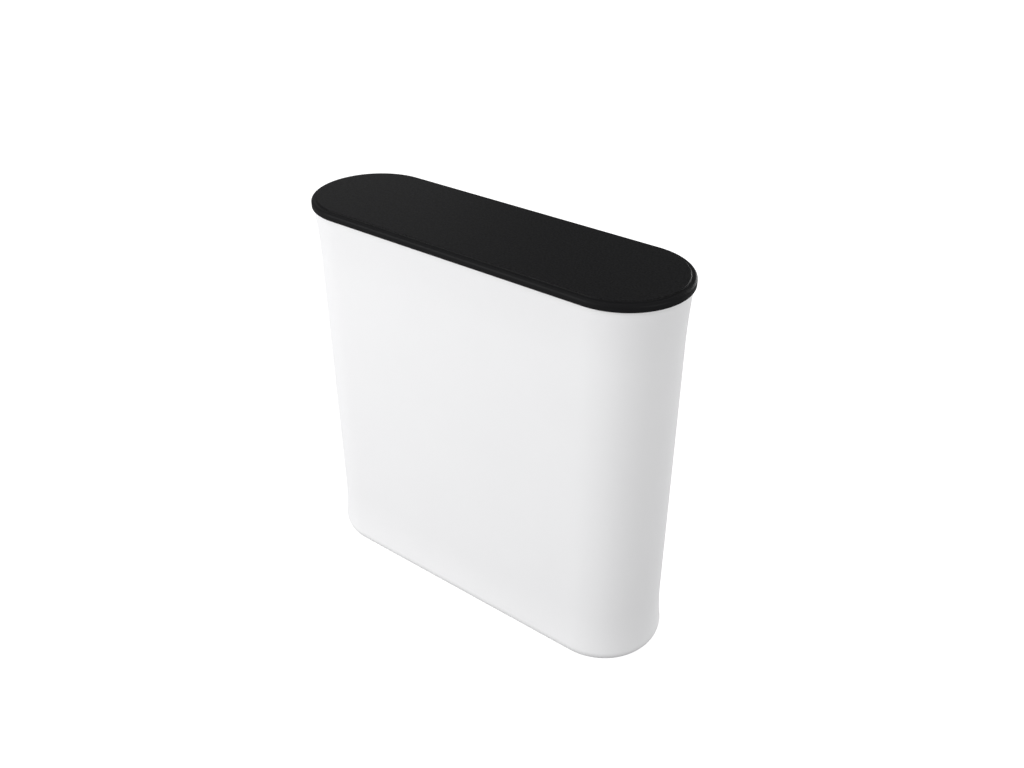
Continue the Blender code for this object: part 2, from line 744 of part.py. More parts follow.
def zip_pull():
    """The pull tab, hanging from the slider's pin by its eye."""
    pin = zip_levels()[4]
    z = slider_z()
    width = LUG_GAP - 2 * GAP
    place = (-width / 2, pin, z)
    bore = PIN_RADIUS + PULL_PLAY
    section = [(bore, 0), (PULL_EYE_RADIUS, 0), (PULL_EYE_RADIUS, width), (bore, width)]
    pull = turned("zip_pull", section, place, "zinc_plate", axis="X", sides=RING_SIDES, closed=True)
    neck = width / 2
    tab = PULL_WIDTH / 2
    tip = z - PULL_LENGTH
    shoulder = z - PULL_NECK
    start = z - (bore + PULL_EYE_RADIUS) / 2
    section = [(-neck, start), (-neck, shoulder), (-tab, shoulder - tab + neck), (-tab, tip + neck)]
    section += [(-neck, tip), (neck, tip), (tab, tip + neck), (tab, shoulder - tab + neck)]
    section += [(neck, shoulder), (neck, start)]
    low = pin - PULL_THICKNESS / 2
    join(pull, prism("pull_tab", section, low, low + PULL_THICKNESS, "zinc_plate", axis="Y"))
    hole_place = (0, low - OVERRUN, tip + tab)
    hole_length = PULL_THICKNESS + 2 * OVERRUN
    hole = rod("pull_hole", PULL_HOLE_RADIUS, hole_place, hole_length, "zinc_plate", "Y", RING_SIDES)
    cut(pull, hole)
    move_origin(pull, (0, pin, z))
    return pull


def valve_levels():
    """Places along Y of the valve: the saddle's face, the flange's back and its face."""
    saddle = FRAME_RADIUS + LOWER_RING_RADIUS + GAP + SADDLE_LEAST
    back = saddle + GAP
    return saddle, back, back + FLANGE_THICKNESS


def valve_saddle(lower_ring):
    """The welded patch that turns the ring's round side into a flat seat, and the hole through both."""
    saddle_face, back, face = valve_levels()
    start = saddle_face - SADDLE_DEPTH
    place = (VALVE_X, start, LOWER_RING_Z)
    saddle = rod("valve_saddle", FLANGE_RADIUS, place, SADDLE_DEPTH, "valve_tpu", axis="Y")
    section = ring_section(LOWER_RING_RADIUS + GAP, LOWER_RING_Z)
    cut(saddle, swept("saddle_seat", section, "valve_tpu", closed=True))
    bore = rod(
        "valve_bore",
        BARREL_RADIUS + GAP,
        (VALVE_X, FRAME_RADIUS, LOWER_RING_Z),
        face - FRAME_RADIUS + OVERRUN,
        "valve_tpu",
        axis="Y",
    )
    cut(saddle, bore)
    cut(lower_ring, bore)
    return saddle


def valve_body():
    """The flange and barrel, with the cross web that guides the plunger and the ears of the cap's hinge."""
    back, face = valve_levels()[1:]
    end = face - BARREL_LENGTH
    section = [
        (BARREL_BORE, 0),
        (BARREL_RADIUS, 0),
        (BARREL_RADIUS, back - end),
        (FLANGE_RADIUS, back - end),
        (FLANGE_RADIUS, BARREL_LENGTH),
        (BARREL_BORE, BARREL_LENGTH),
    ]
    place = (VALVE_X, end, LOWER_RING_Z)
    body = turned("valve_body", section, place, "valve_nylon", axis="Y", closed=True)
    bore = STEM_RADIUS + STEM_PLAY
    hub_back = (VALVE_X, face - WEB_DEPTH - WEB_THICKNESS, LOWER_RING_Z)
    hub_section = [(bore, 0), (HUB_RADIUS, 0), (HUB_RADIUS, WEB_THICKNESS), (bore, WEB_THICKNESS)]
    join(body, turned("valve_hub", hub_section, hub_back, "valve_nylon", axis="Y", closed=True))
    arm_start = (bore + HUB_RADIUS) / 2
    arm_end = (BARREL_BORE + BARREL_RADIUS) / 2
    middle = (arm_start + arm_end) / 2
    arm_y = hub_back[1] + WEB_THICKNESS / 2
    arm_size = Vector((arm_end - arm_start, WEB_THICKNESS - 2 * GAP, WEB_WIDTH))
    for name, x, z in (("left", -1, 0), ("right", 1, 0), ("lower", 0, -1), ("upper", 0, 1)):
        centre = (VALVE_X + x * middle, arm_y, LOWER_RING_Z + z * middle)
        size = arm_size if x else arm_size.zyx
        join(body, centred_block(f"valve_arm_{name}", centre, size, "valve_nylon"))
    knuckle_y, knuckle_z = cap_hinge()
    for name, side in (("left", -1), ("right", 1)):
        x = VALVE_X + side * (CAP_TAB_WIDTH / 2 + GAP + CAP_EAR_WIDTH / 2)
        low = back + FLANGE_THICKNESS / 2
        high = knuckle_y + CAP_KNUCKLE_RADIUS
        centre = (x, (low + high) / 2, knuckle_z)
        size = (CAP_EAR_WIDTH, high - low, 2 * CAP_KNUCKLE_RADIUS)
        join(body, centred_block(f"cap_ear_{name}", centre, size, "valve_nylon"))
    return body


def cap_hinge():
    """The Y and Z of the cap's hinge line."""
    face = valve_levels()[2]
    return face + GAP + CAP_KNUCKLE_RADIUS, LOWER_RING_Z + CAP_HINGE_DROP


def valve_cap():
    """The cap: a disc with a plug that fits the valve's mouth, hinged at its top."""
    face = valve_levels()[2]
    back = face + GAP
    knuckle_y, knuckle_z = cap_hinge()
    section = [
        (0, -CAP_PLUG_LENGTH),
        (CAP_PLUG_RADIUS, -CAP_PLUG_LENGTH),
        (CAP_PLUG_RADIUS, 0),
        (CAP_RADIUS, 0),
        (CAP_RADIUS, CAP_THICKNESS),
        (0, CAP_THICKNESS),
    ]
    cap = turned("valve_cap", section, (VALVE_X, back, LOWER_RING_Z), "valve_tpu", axis="Y")
    tab_low = LOWER_RING_Z + CAP_RADIUS / 2
    tab_centre = (VALVE_X, back + CAP_THICKNESS / 2, (tab_low + knuckle_z) / 2)
    tab_size = (CAP_TAB_WIDTH, CAP_THICKNESS - 2 * GAP, knuckle_z - tab_low)
    join(cap, centred_block("cap_tab", tab_centre, tab_size, "valve_tpu"))
    start = (VALVE_X - CAP_TAB_WIDTH / 2, knuckle_y, knuckle_z)
    join(
        cap,
        rod("cap_knuckle", CAP_KNUCKLE_RADIUS, start, CAP_TAB_WIDTH, "valve_tpu", axis="X", sides=RING_SIDES),
    )
    move_origin(cap, (VALVE_X, knuckle_y, knuckle_z))
    return cap


def valve_plunger():
    """The plunger: a button and stem through the hub, and the disc that seals the barrel's inner end."""
    face = valve_levels()[2]
    disc_face = face - BARREL_LENGTH - GAP
    web_face = face - WEB_DEPTH
    button_back = web_face + SPRING_LENGTH
    start = disc_face - DISC_THICKNESS
    section = [
        (0, 0),
        (DISC_RADIUS, 0),
        (DISC_RADIUS, DISC_THICKNESS),
        (STEM_RADIUS, DISC_THICKNESS),
        (STEM_RADIUS, button_back - start),
        (BUTTON_RADIUS, button_back - start),
        (BUTTON_RADIUS, button_back - start + BUTTON_THICKNESS),
        (0, button_back - start + BUTTON_THICKNESS),
    ]
    place = (VALVE_X, start, LOWER_RING_Z)
    plunger = turned("valve_plunger", section, place, "valve_tpu", axis="Y")
    move_origin(plunger, place)
    return plunger


def valve_spring():
    """The coil spring round the stem, between the hub and the button."""
    web_face = valve_levels()[2] - WEB_DEPTH
    low = web_face + GAP + SPRING_WIRE
    high = web_face + SPRING_LENGTH - GAP - SPRING_WIRE
    steps = 10 * SPRING_TURNS
    points = []
    for step in range(steps + 1):
        angle = 2 * math.pi * SPRING_TURNS * step / steps
        x = VALVE_X + SPRING_RADIUS * math.cos(angle)
        z = LOWER_RING_Z + SPRING_RADIUS * math.sin(angle)
        points.append((x, low + (high - low) * step / steps, z))
    return wire("valve_spring", points, SPRING_WIRE, "spring_steel")


def led_bar(place, side):
    """One light bar: channel, board with LEDs, lens cover and two end caps. side is 1 to the right."""
    z = BASE_SEAT_Z
    half = BAR_WIDTH / 2
    bar_end = STRAIGHT + board_radius() - BAR_END_MARGIN - END_CAP_LENGTH - GAP
    start = side * BAR_START
    end = side * bar_end
    inner = half - BAR_WALL
    lip = inner - BAR_LIP
    top = z + BAR_HEIGHT
    section = [
        (-half, z),
        (half, z),
        (half, top),
        (lip, top),
        (lip, top - BAR_WALL),
        (inner, top - BAR_WALL),
        (inner, z + BAR_WALL),
        (-inner, z + BAR_WALL),
        (-inner, top - BAR_WALL),
        (-lip, top - BAR_WALL),
        (-lip, top),
        (-half, top),
    ]
    prism(f"led_channel_{place}", section, start, end, "extruded_aluminium")
    board_z = z + BAR_WALL + GAP
    board_low = (min(start, end) + GAP, GAP - inner, board_z)
    board_high = (max(start, end) - GAP, inner - GAP, board_z + LED_BOARD_THICKNESS)
    board = block(f"led_board_{place}", board_low, board_high, "led_board")
    pitch = (bar_end - BAR_START) / LED_COUNT
    for i in range(LED_COUNT):
        x = start + side * pitch * (i + 0.5)
        centre = (x, 0, board_z + LED_BOARD_THICKNESS)
        size = (LED_SIZE, LED_SIZE, 2 * LED_HEIGHT)
        join(board, centred_block(f"led_{place}_{i + 1}", centre, size, "led_board"))
    lens_z = top + GAP
    outer = arc((0, lens_z), half, 0, 180, LENS_STEPS)
    inside = arc((0, lens_z), half - LENS_WALL, 180, 0, LENS_STEPS)
    prism(f"led_lens_{place}", outer + inside, start, end, "opal_polycarbonate")
    cap_wide = half + END_CAP_MARGIN
    cap_section = [(-cap_wide, z), (cap_wide, z), *arc((0, lens_z), cap_wide, 0, 180, LENS_STEPS)]
    for name, face, way in (("inner", start, -side), ("outer", end, side)):
        from_x = face + way * GAP
        to_x = face + way * (GAP + END_CAP_LENGTH)
        prism(f"led_end_cap_{place}_{name}", cap_section, from_x, to_x, "grey_plastic")


def driver():
    """The driver's case with its three glands, and its lid."""
    z = BASE_SEAT_Z
    half_length = DRIVER_LENGTH / 2
    half_width = DRIVER_WIDTH / 2
    top = z + DRIVER_HEIGHT
    low = (-half_length, -half_width, z)
    case = block("driver_case", low, (half_length, half_width, top), "driver_aluminium")
    hollow_low = (DRIVER_WALL - half_length, DRIVER_WALL - half_width, z + DRIVER_WALL)
    hollow_high = (half_length - DRIVER_WALL, half_width - DRIVER_WALL, top + OVERRUN)
    cut(case, block("driver_hollow", hollow_low, hollow_high, "driver_aluminium"))
    root = DRIVER_WALL / 2
    length = GLAND_LENGTH + root
    height = z + GLAND_HEIGHT
    for name, place, axis in (
        ("left", (-half_length - GLAND_LENGTH, 0, height), "X"),
        ("right", (half_length - root, 0, height), "X"),
        ("mains", (MAINS_GLAND_X, half_width - root, height), "Y"),
    ):
        gland = rod(f"gland_{name}", GLAND_RADIUS, place, length, "driver_aluminium", axis, RING_SIDES)
        join(case, gland)
    lid_z = top + GAP
    block(
        "driver_lid",
        (-half_length, -half_width, lid_z),
        (half_length, half_width, lid_z + DRIVER_WALL),
        "driver_aluminium",
    )


def led_lead(place, side):
    """The short lead from the driver's gland to a light bar's end cap."""
    start = DRIVER_LENGTH / 2 + GLAND_LENGTH + GAP
    end = BAR_START - END_CAP_LENGTH - 2 * GAP
    height = BASE_SEAT_Z + GLAND_HEIGHT
    low = BASE_SEAT_Z + BAR_HEIGHT / 2
    run = end - start
    shares = ((0, 0), (0.2, 0), (0.5, 0.5), (0.8, 1), (1, 1))
    points = [(side * (start + run * along), 0, height + (low - height) * down) for along, down in shares]
    return wire(f"led_lead_{place}", smooth_route(points), LEAD_RADIUS, "lead_pvc", resolution=2)


def inlet_levels():
    """Places along Y of the inlet: the bracket flange's back and face, the bezel's back and face."""
    flange = REAR_Y - COVER_THICKNESS - 3 * GAP
    bezel = REAR_Y + GAP
    return flange - BRACKET_THICKNESS, flange, bezel, bezel + BEZEL_THICKNESS


def inlet_hole(name, wide, high, x, depth_from, finish):
    """A cutter for a part that passes through the bezel and the bracket, from depth_from outwards."""
    y_to = inlet_levels()[3] + OVERRUN
    low = (x - wide / 2 - GAP, depth_from, INLET_Z - high / 2 - GAP)
    return block(name, low, (x + wide / 2 + GAP, y_to, INLET_Z + high / 2 + GAP), finish)


def inlet_bracket(cutters):
    """The bent sheet bracket that stands on the base board and reaches over the lower ring to the rear."""
    back, face = inlet_levels()[:2]
    low = BASE_SEAT_Z
    riser = BRACKET_RISER_Y
    shelf = LOWER_RING_Z + LOWER_RING_RADIUS + BRACKET_RISE
    top = INLET_Z + BEZEL_HEIGHT / 2 + BRACKET_TOP_MARGIN
    t = BRACKET_THICKNESS
    section = [
        (riser - BRACKET_FOOT, low),
        (riser + t, low),
        (riser + t, shelf),
        (face, shelf),
        (face, top),
        (back, top),
        (back, shelf + t),
        (riser, shelf + t),
        (riser, low + t),
        (riser - BRACKET_FOOT, low + t),
    ]
    half = BRACKET_WIDTH / 2
    bracket = prism("inlet_bracket", section, INLET_X - half, INLET_X + half, "galvanised_sheet")
    for cutter in cutters:
        cut(bracket, cutter)
    for name, x in screw_places("bracket"):
        place = (x, riser - BRACKET_FOOT / 2, low - OVERRUN)
        length = BRACKET_THICKNESS + 2 * OVERRUN
        hole = rod(f"{name}_hole", SCREW_RADIUS + GAP, place, length, "galvanised_sheet", sides=SCREW_SIDES)
        cut(bracket, hole)
    return bracket


def screw_places(held):
    """The pair of screws that hold a piece, by name and X."""
    reach = SCREW_SPACING / 2
    return [(f"{held}_screw_left", INLET_X - reach), (f"{held}_screw_right", INLET_X + reach)]


def inlet_bezel(cutters):
    """The bezel over the cover's bound opening, with the spigot that meets the bracket."""
    flange, back, face = inlet_levels()[1:]
    bezel = block(
        "inlet_bezel",
        (INLET_X - BEZEL_WIDTH / 2, back, INLET_Z - BEZEL_HEIGHT / 2),
        (INLET_X + BEZEL_WIDTH / 2, face, INLET_Z + BEZEL_HEIGHT / 2),
        "inlet_black",
    )
    half_wide = BEZEL_WIDTH / 2 - BEZEL_OVERLAP
    half_high = BEZEL_HEIGHT / 2 - BEZEL_OVERLAP
    spigot = block(
        "bezel_spigot",
        (INLET_X - half_wide, flange + GAP, INLET_Z - half_high),
        (INLET_X + half_wide, (back + face) / 2, INLET_Z + half_high),
        "inlet_black",
    )
    join(bezel, spigot)
    for cutter in cutters:
        cut(bezel, cutter)
    return bezel


def screw_cutters():
    """The holes for the bezel's screws, through the bezel and the bracket."""
    back = inlet_levels()[0]
    length = inlet_levels()[3] - back + 2 * OVERRUN
    made = []
    for name, x in screw_places("bezel"):
        place = (x, back - OVERRUN, INLET_Z)
        cutter = rod(f"{name}_hole", SCREW_RADIUS + GAP, place, length, "inlet_black", "Y", SCREW_SIDES)
        made.append(cutter)
    return made


def screws():
    """The bezel's two screws and the two that hold the bracket's foot to the base board."""
    face = inlet_levels()[3]
    section = [
        (0, -SCREW_LENGTH),
        (SCREW_RADIUS, -SCREW_LENGTH),
        (SCREW_RADIUS, GAP),
        (SCREW_HEAD_RADIUS, GAP),
        (SCREW_HEAD_RADIUS, SCREW_HEAD_HEIGHT * SCREW_EDGE_SHARE),
        (SCREW_HEAD_RADIUS / 2, SCREW_HEAD_HEIGHT),
        (0, SCREW_HEAD_HEIGHT),
    ]
    for name, x in screw_places("bezel"):
        turned(name, section, (x, face, INLET_Z), "zinc_plate", "Y", SCREW_SIDES)
    foot_y = BRACKET_RISER_Y - BRACKET_FOOT / 2
    foot_face = BASE_SEAT_Z + BRACKET_THICKNESS
    for name, x in screw_places("bracket"):
        turned(name, section, (x, foot_y, foot_face), "zinc_plate", "Z", SCREW_SIDES)


def screw_holes_in_board(board):
    """Pilot holes in the base board for the bracket's screws."""
    foot_y = BRACKET_RISER_Y - BRACKET_FOOT / 2
    low = BASE_SEAT_Z + BRACKET_THICKNESS - SCREW_LENGTH - GAP
    for name, x in screw_places("bracket"):
        place = (x, foot_y, low)
        pilot = rod(f"{name}_pilot", SCREW_RADIUS + GAP, place, SCREW_LENGTH, "birch_ply", sides=SCREW_SIDES)
        cut(board, pilot)


def inlet_socket():
    """The mains inlet: a body with a rim, its recess and three blades."""
    face = inlet_levels()[3]
    x = INLET_X - SOCKET_OFFSET
    front = face + GAP + SOCKET_RIM_THICKNESS
    socket = block(
        "inlet_socket",
        (x - SOCKET_WIDTH / 2, front - SOCKET_DEPTH, INLET_Z - SOCKET_HEIGHT / 2),
        (x + SOCKET_WIDTH / 2, front, INLET_Z + SOCKET_HEIGHT / 2),
        "inlet_black",
    )
    wide = SOCKET_WIDTH / 2 + SOCKET_RIM
    high = SOCKET_HEIGHT / 2 + SOCKET_RIM
    rim = block(
        "socket_rim",
        (x - wide, front - SOCKET_RIM_THICKNESS, INLET_Z - high),
        (x + wide, front, INLET_Z + high),
        "inlet_black",
    )
    join(socket, rim)
    floor = front - SOCKET_RECESS_DEPTH
    recess = block(
        "socket_recess",
        (x - SOCKET_RECESS_WIDTH / 2, floor, INLET_Z - SOCKET_RECESS_HEIGHT / 2),
        (x + SOCKET_RECESS_WIDTH / 2, front + OVERRUN, INLET_Z + SOCKET_RECESS_HEIGHT / 2),
        "inlet_black",
    )
    cut(socket, recess)
    step = BLADE_STEP_SHARE * BLADE_HEIGHT
    for name, along, up in (("line", -1, -step), ("earth", 0, step), ("neutral", 1, -step)):
        root = floor - BLADE_WIDTH / 2
        centre = (x + along * BLADE_SPACING, (root + floor + BLADE_LENGTH) / 2, INLET_Z + up)
        size = (BLADE_WIDTH, floor + BLADE_LENGTH - root, BLADE_HEIGHT)
        join(socket, centred_block(f"blade_{name}", centre, size, "inlet_black"))
    return socket


def rocker_pivot():
    """The rocker's axis: X, Y and Z."""
    return INLET_X + SWITCH_OFFSET, inlet_levels()[3] + GAP + ROCKER_PIVOT_RISE, INLET_Z


def switch_body():
    """The switch's housing, with the well that the rocker sits in."""
    face = inlet_levels()[3]
    x = INLET_X + SWITCH_OFFSET
    rim_face = face + GAP + SWITCH_RIM
    body = block(
        "switch_body",
        (x - SWITCH_WIDTH / 2, rim_face - SWITCH_DEPTH, INLET_Z - SWITCH_HEIGHT / 2),
        (x + SWITCH_WIDTH / 2, rim_face, INLET_Z + SWITCH_HEIGHT / 2),
        "switch_black",
    )
    wide = SWITCH_WIDTH / 2 + SWITCH_RIM
    high = SWITCH_HEIGHT / 2 + SWITCH_RIM
    rim = block(
        "switch_rim",
        (x - wide, face + GAP, INLET_Z - high),
        (x + wide, rim_face, INLET_Z + high),
        "switch_black",
    )
    join(body, rim)
    wide = SWITCH_WIDTH / 2 - SWITCH_WALL
    high = SWITCH_HEIGHT / 2 - SWITCH_WALL
    well = block(
        "switch_well",
        (x - wide, rim_face - SWITCH_WELL_DEPTH, INLET_Z - high),
        (x + wide, rim_face + OVERRUN, INLET_Z + high),
        "switch_black",
    )
    cut(body, well)
    return body


def switch_rocker():
    """The rocker, shown off: its lower end pressed in."""
    half = SWITCH_WIDTH / 2 - SWITCH_WALL - ROCKER_SLACK
    section = [
        (-ROCKER_KEEL, 0),
        (-ROCKER_HEEL, -ROCKER_REACH),
        (ROCKER_CREST, -ROCKER_REACH),
        (ROCKER_VALLEY, 0),
        (ROCKER_CREST, ROCKER_REACH),
        (-ROCKER_HEEL, ROCKER_REACH),
    ]
    rocker = prism("switch_rocker", section, -half, half, "switch_black")
    rocker.location = rocker_pivot()
    rocker.rotation_euler.x = -ROCKER_TILT
    return rocker


def mains_lead():
    """The lead inside the counter, from the back of the inlet down to the driver's gland."""
    socket_back = inlet_levels()[3] + GAP + SOCKET_RIM_THICKNESS - SOCKET_DEPTH
    start = (INLET_X - SOCKET_OFFSET, socket_back - GAP, INLET_Z)
    end = (MAINS_GLAND_X, DRIVER_WIDTH / 2 + GLAND_LENGTH + GAP, BASE_SEAT_Z + GLAND_HEIGHT)
    from_start = [
        (0, 0, 0),
        (0, -0.0138, 0),
        (0, -0.0398, -0.004),
        (0.003, -0.0578, -0.021),
        (0.009, -0.0658, -0.047),
    ]
    from_end = [
        (-0.116, 0.0187, 0.0754),
        (-0.104, 0.0197, 0.0424),
        (-0.086, 0.0237, 0.0164),
        (-0.058, 0.0307, 0.0034),
        (-0.026, 0.0337, 0.0004),
        (-0.006, 0.0267, 0),
        (0, 0.0147, 0),
        (0, 0.0077, 0),
        (0, 0.0037, 0),
        (0, 0, 0),
    ]
    points = [Vector(start) + Vector(step) for step in from_start]
    points += [Vector(end) + Vector(step) for step in from_end]
    return wire("mains_lead", smooth_route(points), MAINS_LEAD_RADIUS, "lead_pvc", resolution=2)


def clear_scene():
    """Removes whatever the scene holds."""
    for old in list(bpy.data.objects):
        bpy.data.objects.remove(old, do_unlink=True)


def build():
    """Makes every piece of the counter."""
    clear_scene()
    countertop_shell()
    countertop_core()
    strips()
    top_board()
    keder_bead()
    air_ring("upper_ring", UPPER_RING_RADIUS, UPPER_RING_Z, -1)
    lower_ring = air_ring("lower_ring", LOWER_RING_RADIUS, LOWER_RING_Z, 1)
    columns()
    screw_holes_in_board(base_board())
    feet()
    fabric_cover()
    hem_elastic()
    zip_tape()
    zip_stops()
    zip_slider()
    zip_pull()
    valve_saddle(lower_ring)
    valve_body()
    valve_plunger()
    valve_spring()
    valve_cap()
    for place, side in (("left", -1), ("right", 1)):
        led_bar(place, side)
        led_lead(place, side)
    driver()
    inner = inlet_levels()[0] - OVERRUN
    socket_x = INLET_X - SOCKET_OFFSET
    switch_x = INLET_X + SWITCH_OFFSET
    cutters = [
        inlet_hole("socket_cutter", SOCKET_WIDTH, SOCKET_HEIGHT, socket_x, inner, "inlet_black"),
        inlet_hole("switch_cutter", SWITCH_WIDTH, SWITCH_HEIGHT, switch_x, inner, "inlet_black"),
        *screw_cutters(),
    ]
    inlet_bracket(cutters)
    inlet_bezel(cutters)
    inlet_socket()
    switch_body()
    switch_rocker()
    screws()
    mains_lead()


build()
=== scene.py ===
"""Looks of the inflatable lightbox counter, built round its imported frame.

Metres, +Z up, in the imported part's own frame: X runs along the counter, -Y is its front, and the floor is at
zero. A moulded black top stands on a white knitted cover, which holds the boards, the air frame, the light
bars and the power parts. The rear carries the zip, the valve and the mains inlet.
"""

import json
import logging
import math
from collections.abc import Callable, Iterable, Sequence
from dataclasses import dataclass
from enum import Enum
from functools import cache

import bmesh
import bpy
from mathutils import Matrix, Vector


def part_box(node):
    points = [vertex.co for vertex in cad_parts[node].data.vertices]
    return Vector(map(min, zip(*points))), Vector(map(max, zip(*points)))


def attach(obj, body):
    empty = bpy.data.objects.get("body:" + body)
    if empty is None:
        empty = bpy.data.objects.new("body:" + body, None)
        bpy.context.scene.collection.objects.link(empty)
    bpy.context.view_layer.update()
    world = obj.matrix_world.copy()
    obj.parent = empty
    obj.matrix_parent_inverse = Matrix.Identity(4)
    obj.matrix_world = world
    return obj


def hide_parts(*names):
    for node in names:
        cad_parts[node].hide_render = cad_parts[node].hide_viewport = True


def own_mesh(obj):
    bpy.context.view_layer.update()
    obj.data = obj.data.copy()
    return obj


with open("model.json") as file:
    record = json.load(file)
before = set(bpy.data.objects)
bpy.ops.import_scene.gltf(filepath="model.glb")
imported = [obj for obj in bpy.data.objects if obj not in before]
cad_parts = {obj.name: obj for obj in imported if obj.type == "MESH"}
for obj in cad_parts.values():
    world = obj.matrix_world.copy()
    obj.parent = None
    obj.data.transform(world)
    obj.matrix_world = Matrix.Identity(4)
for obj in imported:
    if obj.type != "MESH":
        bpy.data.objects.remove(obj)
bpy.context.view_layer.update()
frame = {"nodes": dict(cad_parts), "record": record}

LOG = logging.getLogger("lightbox_counter")
MM = 0.001
MERGE = 0.000001
FLAT_ANGLE = math.radians(0.5)
SMOOTH_ANGLE = math.radians(35)
SHARP_ANGLE = math.radians(40)
SEAT_ANGLE = math.radians(60)
# The distance between two bands of a wave texture at scale 1.
WAVE_PITCH = math.pi / 10
# A streak's width as a share of its length.
STREAK_WIDTH = 0.02
# How many times smaller the patches of a surface's gloss are than those of its colour.
GLOSS_PATCHES = 4
# The range that holds most values of a soft noise.
NOISE_RANGE = (0.35, 0.65)
WHITE = (1.0, 1.0, 1.0, 1.0)
NODE_BODY = {node: body for body, nodes in frame["record"]["behaviour"]["bodies"].items() for node in nodes}
NODE_SLOT = {part["node"]: part["material_slot"] for part in frame["record"]["subparts"]}
Socket = bpy.types.NodeSocket
Tree = bpy.types.NodeTree
Piece = bpy.types.Object
Shape = bmesh.types.BMesh
Points = list[tuple[float, float]]
Inputs = dict[str | int, object]


class Grain(Enum):
    """The kind of fine surface a finish has."""

    PITS = "irregular pits, as on a moulded, cast or rubber surface"
    CELLS = "rounded cells, as on a pile or a zinc spangle"
    STREAKS = "long streaks, as on a brushed, drawn or extruded surface"
    RIBS = "straight ribs, as on a woven tape"


class Axis(Enum):
    """An axis of the part's frame, as its index."""

    X = 0
    Y = 1
    Z = 2

    @property
    def vector(self) -> Vector:
        """The axis as a unit vector."""
        return Vector([float(i == self.value) for i in range(3)])


# The turn that lays a shape's Z axis along each axis.
LAID_ALONG = {
    Axis.X: Matrix.Rotation(math.pi / 2, 4, "Y"), Axis.Y: Matrix.Rotation(-math.pi / 2, 4, "X"),
    Axis.Z: Matrix(),
}


@cache
def box(node: str) -> tuple[Vector, Vector]:
    """A CAD node's lowest and highest corners at rest."""
    low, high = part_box(node)
    return Vector(low).freeze(), Vector(high).freeze()


def linear(code: str) -> tuple[float, float, float, float]:
    """Turns a colour to linear light.

    Args:
        code: An sRGB colour as six hex digits.

    Returns:
        Red, green and blue in linear light, and an alpha of 1.
    """
    channels = [int(code[i : i + 2], 16) / 255 for i in (0, 2, 4)]
    red, green, blue = (c / 12.92 if c <= 0.04045 else ((c + 0.055) / 1.055) ** 2.4 for c in channels)
    return red, green, blue, 1.0


def feed(tree: Tree, node: bpy.types.Node, inputs: Inputs) -> None:
    """Links or sets a node's inputs.

    Args:
        tree: The node's tree.
        node: The node.
        inputs: For each input, by name or number, the socket to link to it or the value to give it.
    """
    for name, value in inputs.items():
        if isinstance(value, Socket):
            tree.links.new(value, node.inputs[name])
        else:
            node.inputs[name].default_value = value


def add(tree: Tree, kind: str, inputs: Inputs | None = None, **settings: object) -> bpy.types.Node:
    """Adds one node.

    Args:
        tree: The node tree to add to.
        kind: The node's type, without its leading ShaderNode.
        inputs: What its inputs are linked to or set to.
        **settings: The node's own settings.

    Returns:
        The new node.
    """
    node = tree.nodes.new("ShaderNode" + kind)
    for name, value in settings.items():
        setattr(node, name, value)
    feed(tree, node, inputs or {})
    return node


def mesh_of(name: str, bm: Shape) -> bpy.types.Mesh:
    """A mesh of a shape, which is freed."""
    mesh = bpy.data.meshes.new(name)
    bm.to_mesh(mesh)
    bm.free()
    return mesh


def placed(name: str, data: bpy.types.ID) -> Piece:
    """An object for its data, in the scene."""
    made = bpy.data.objects.new(name, data)
    bpy.context.scene.collection.objects.link(made)
    return made


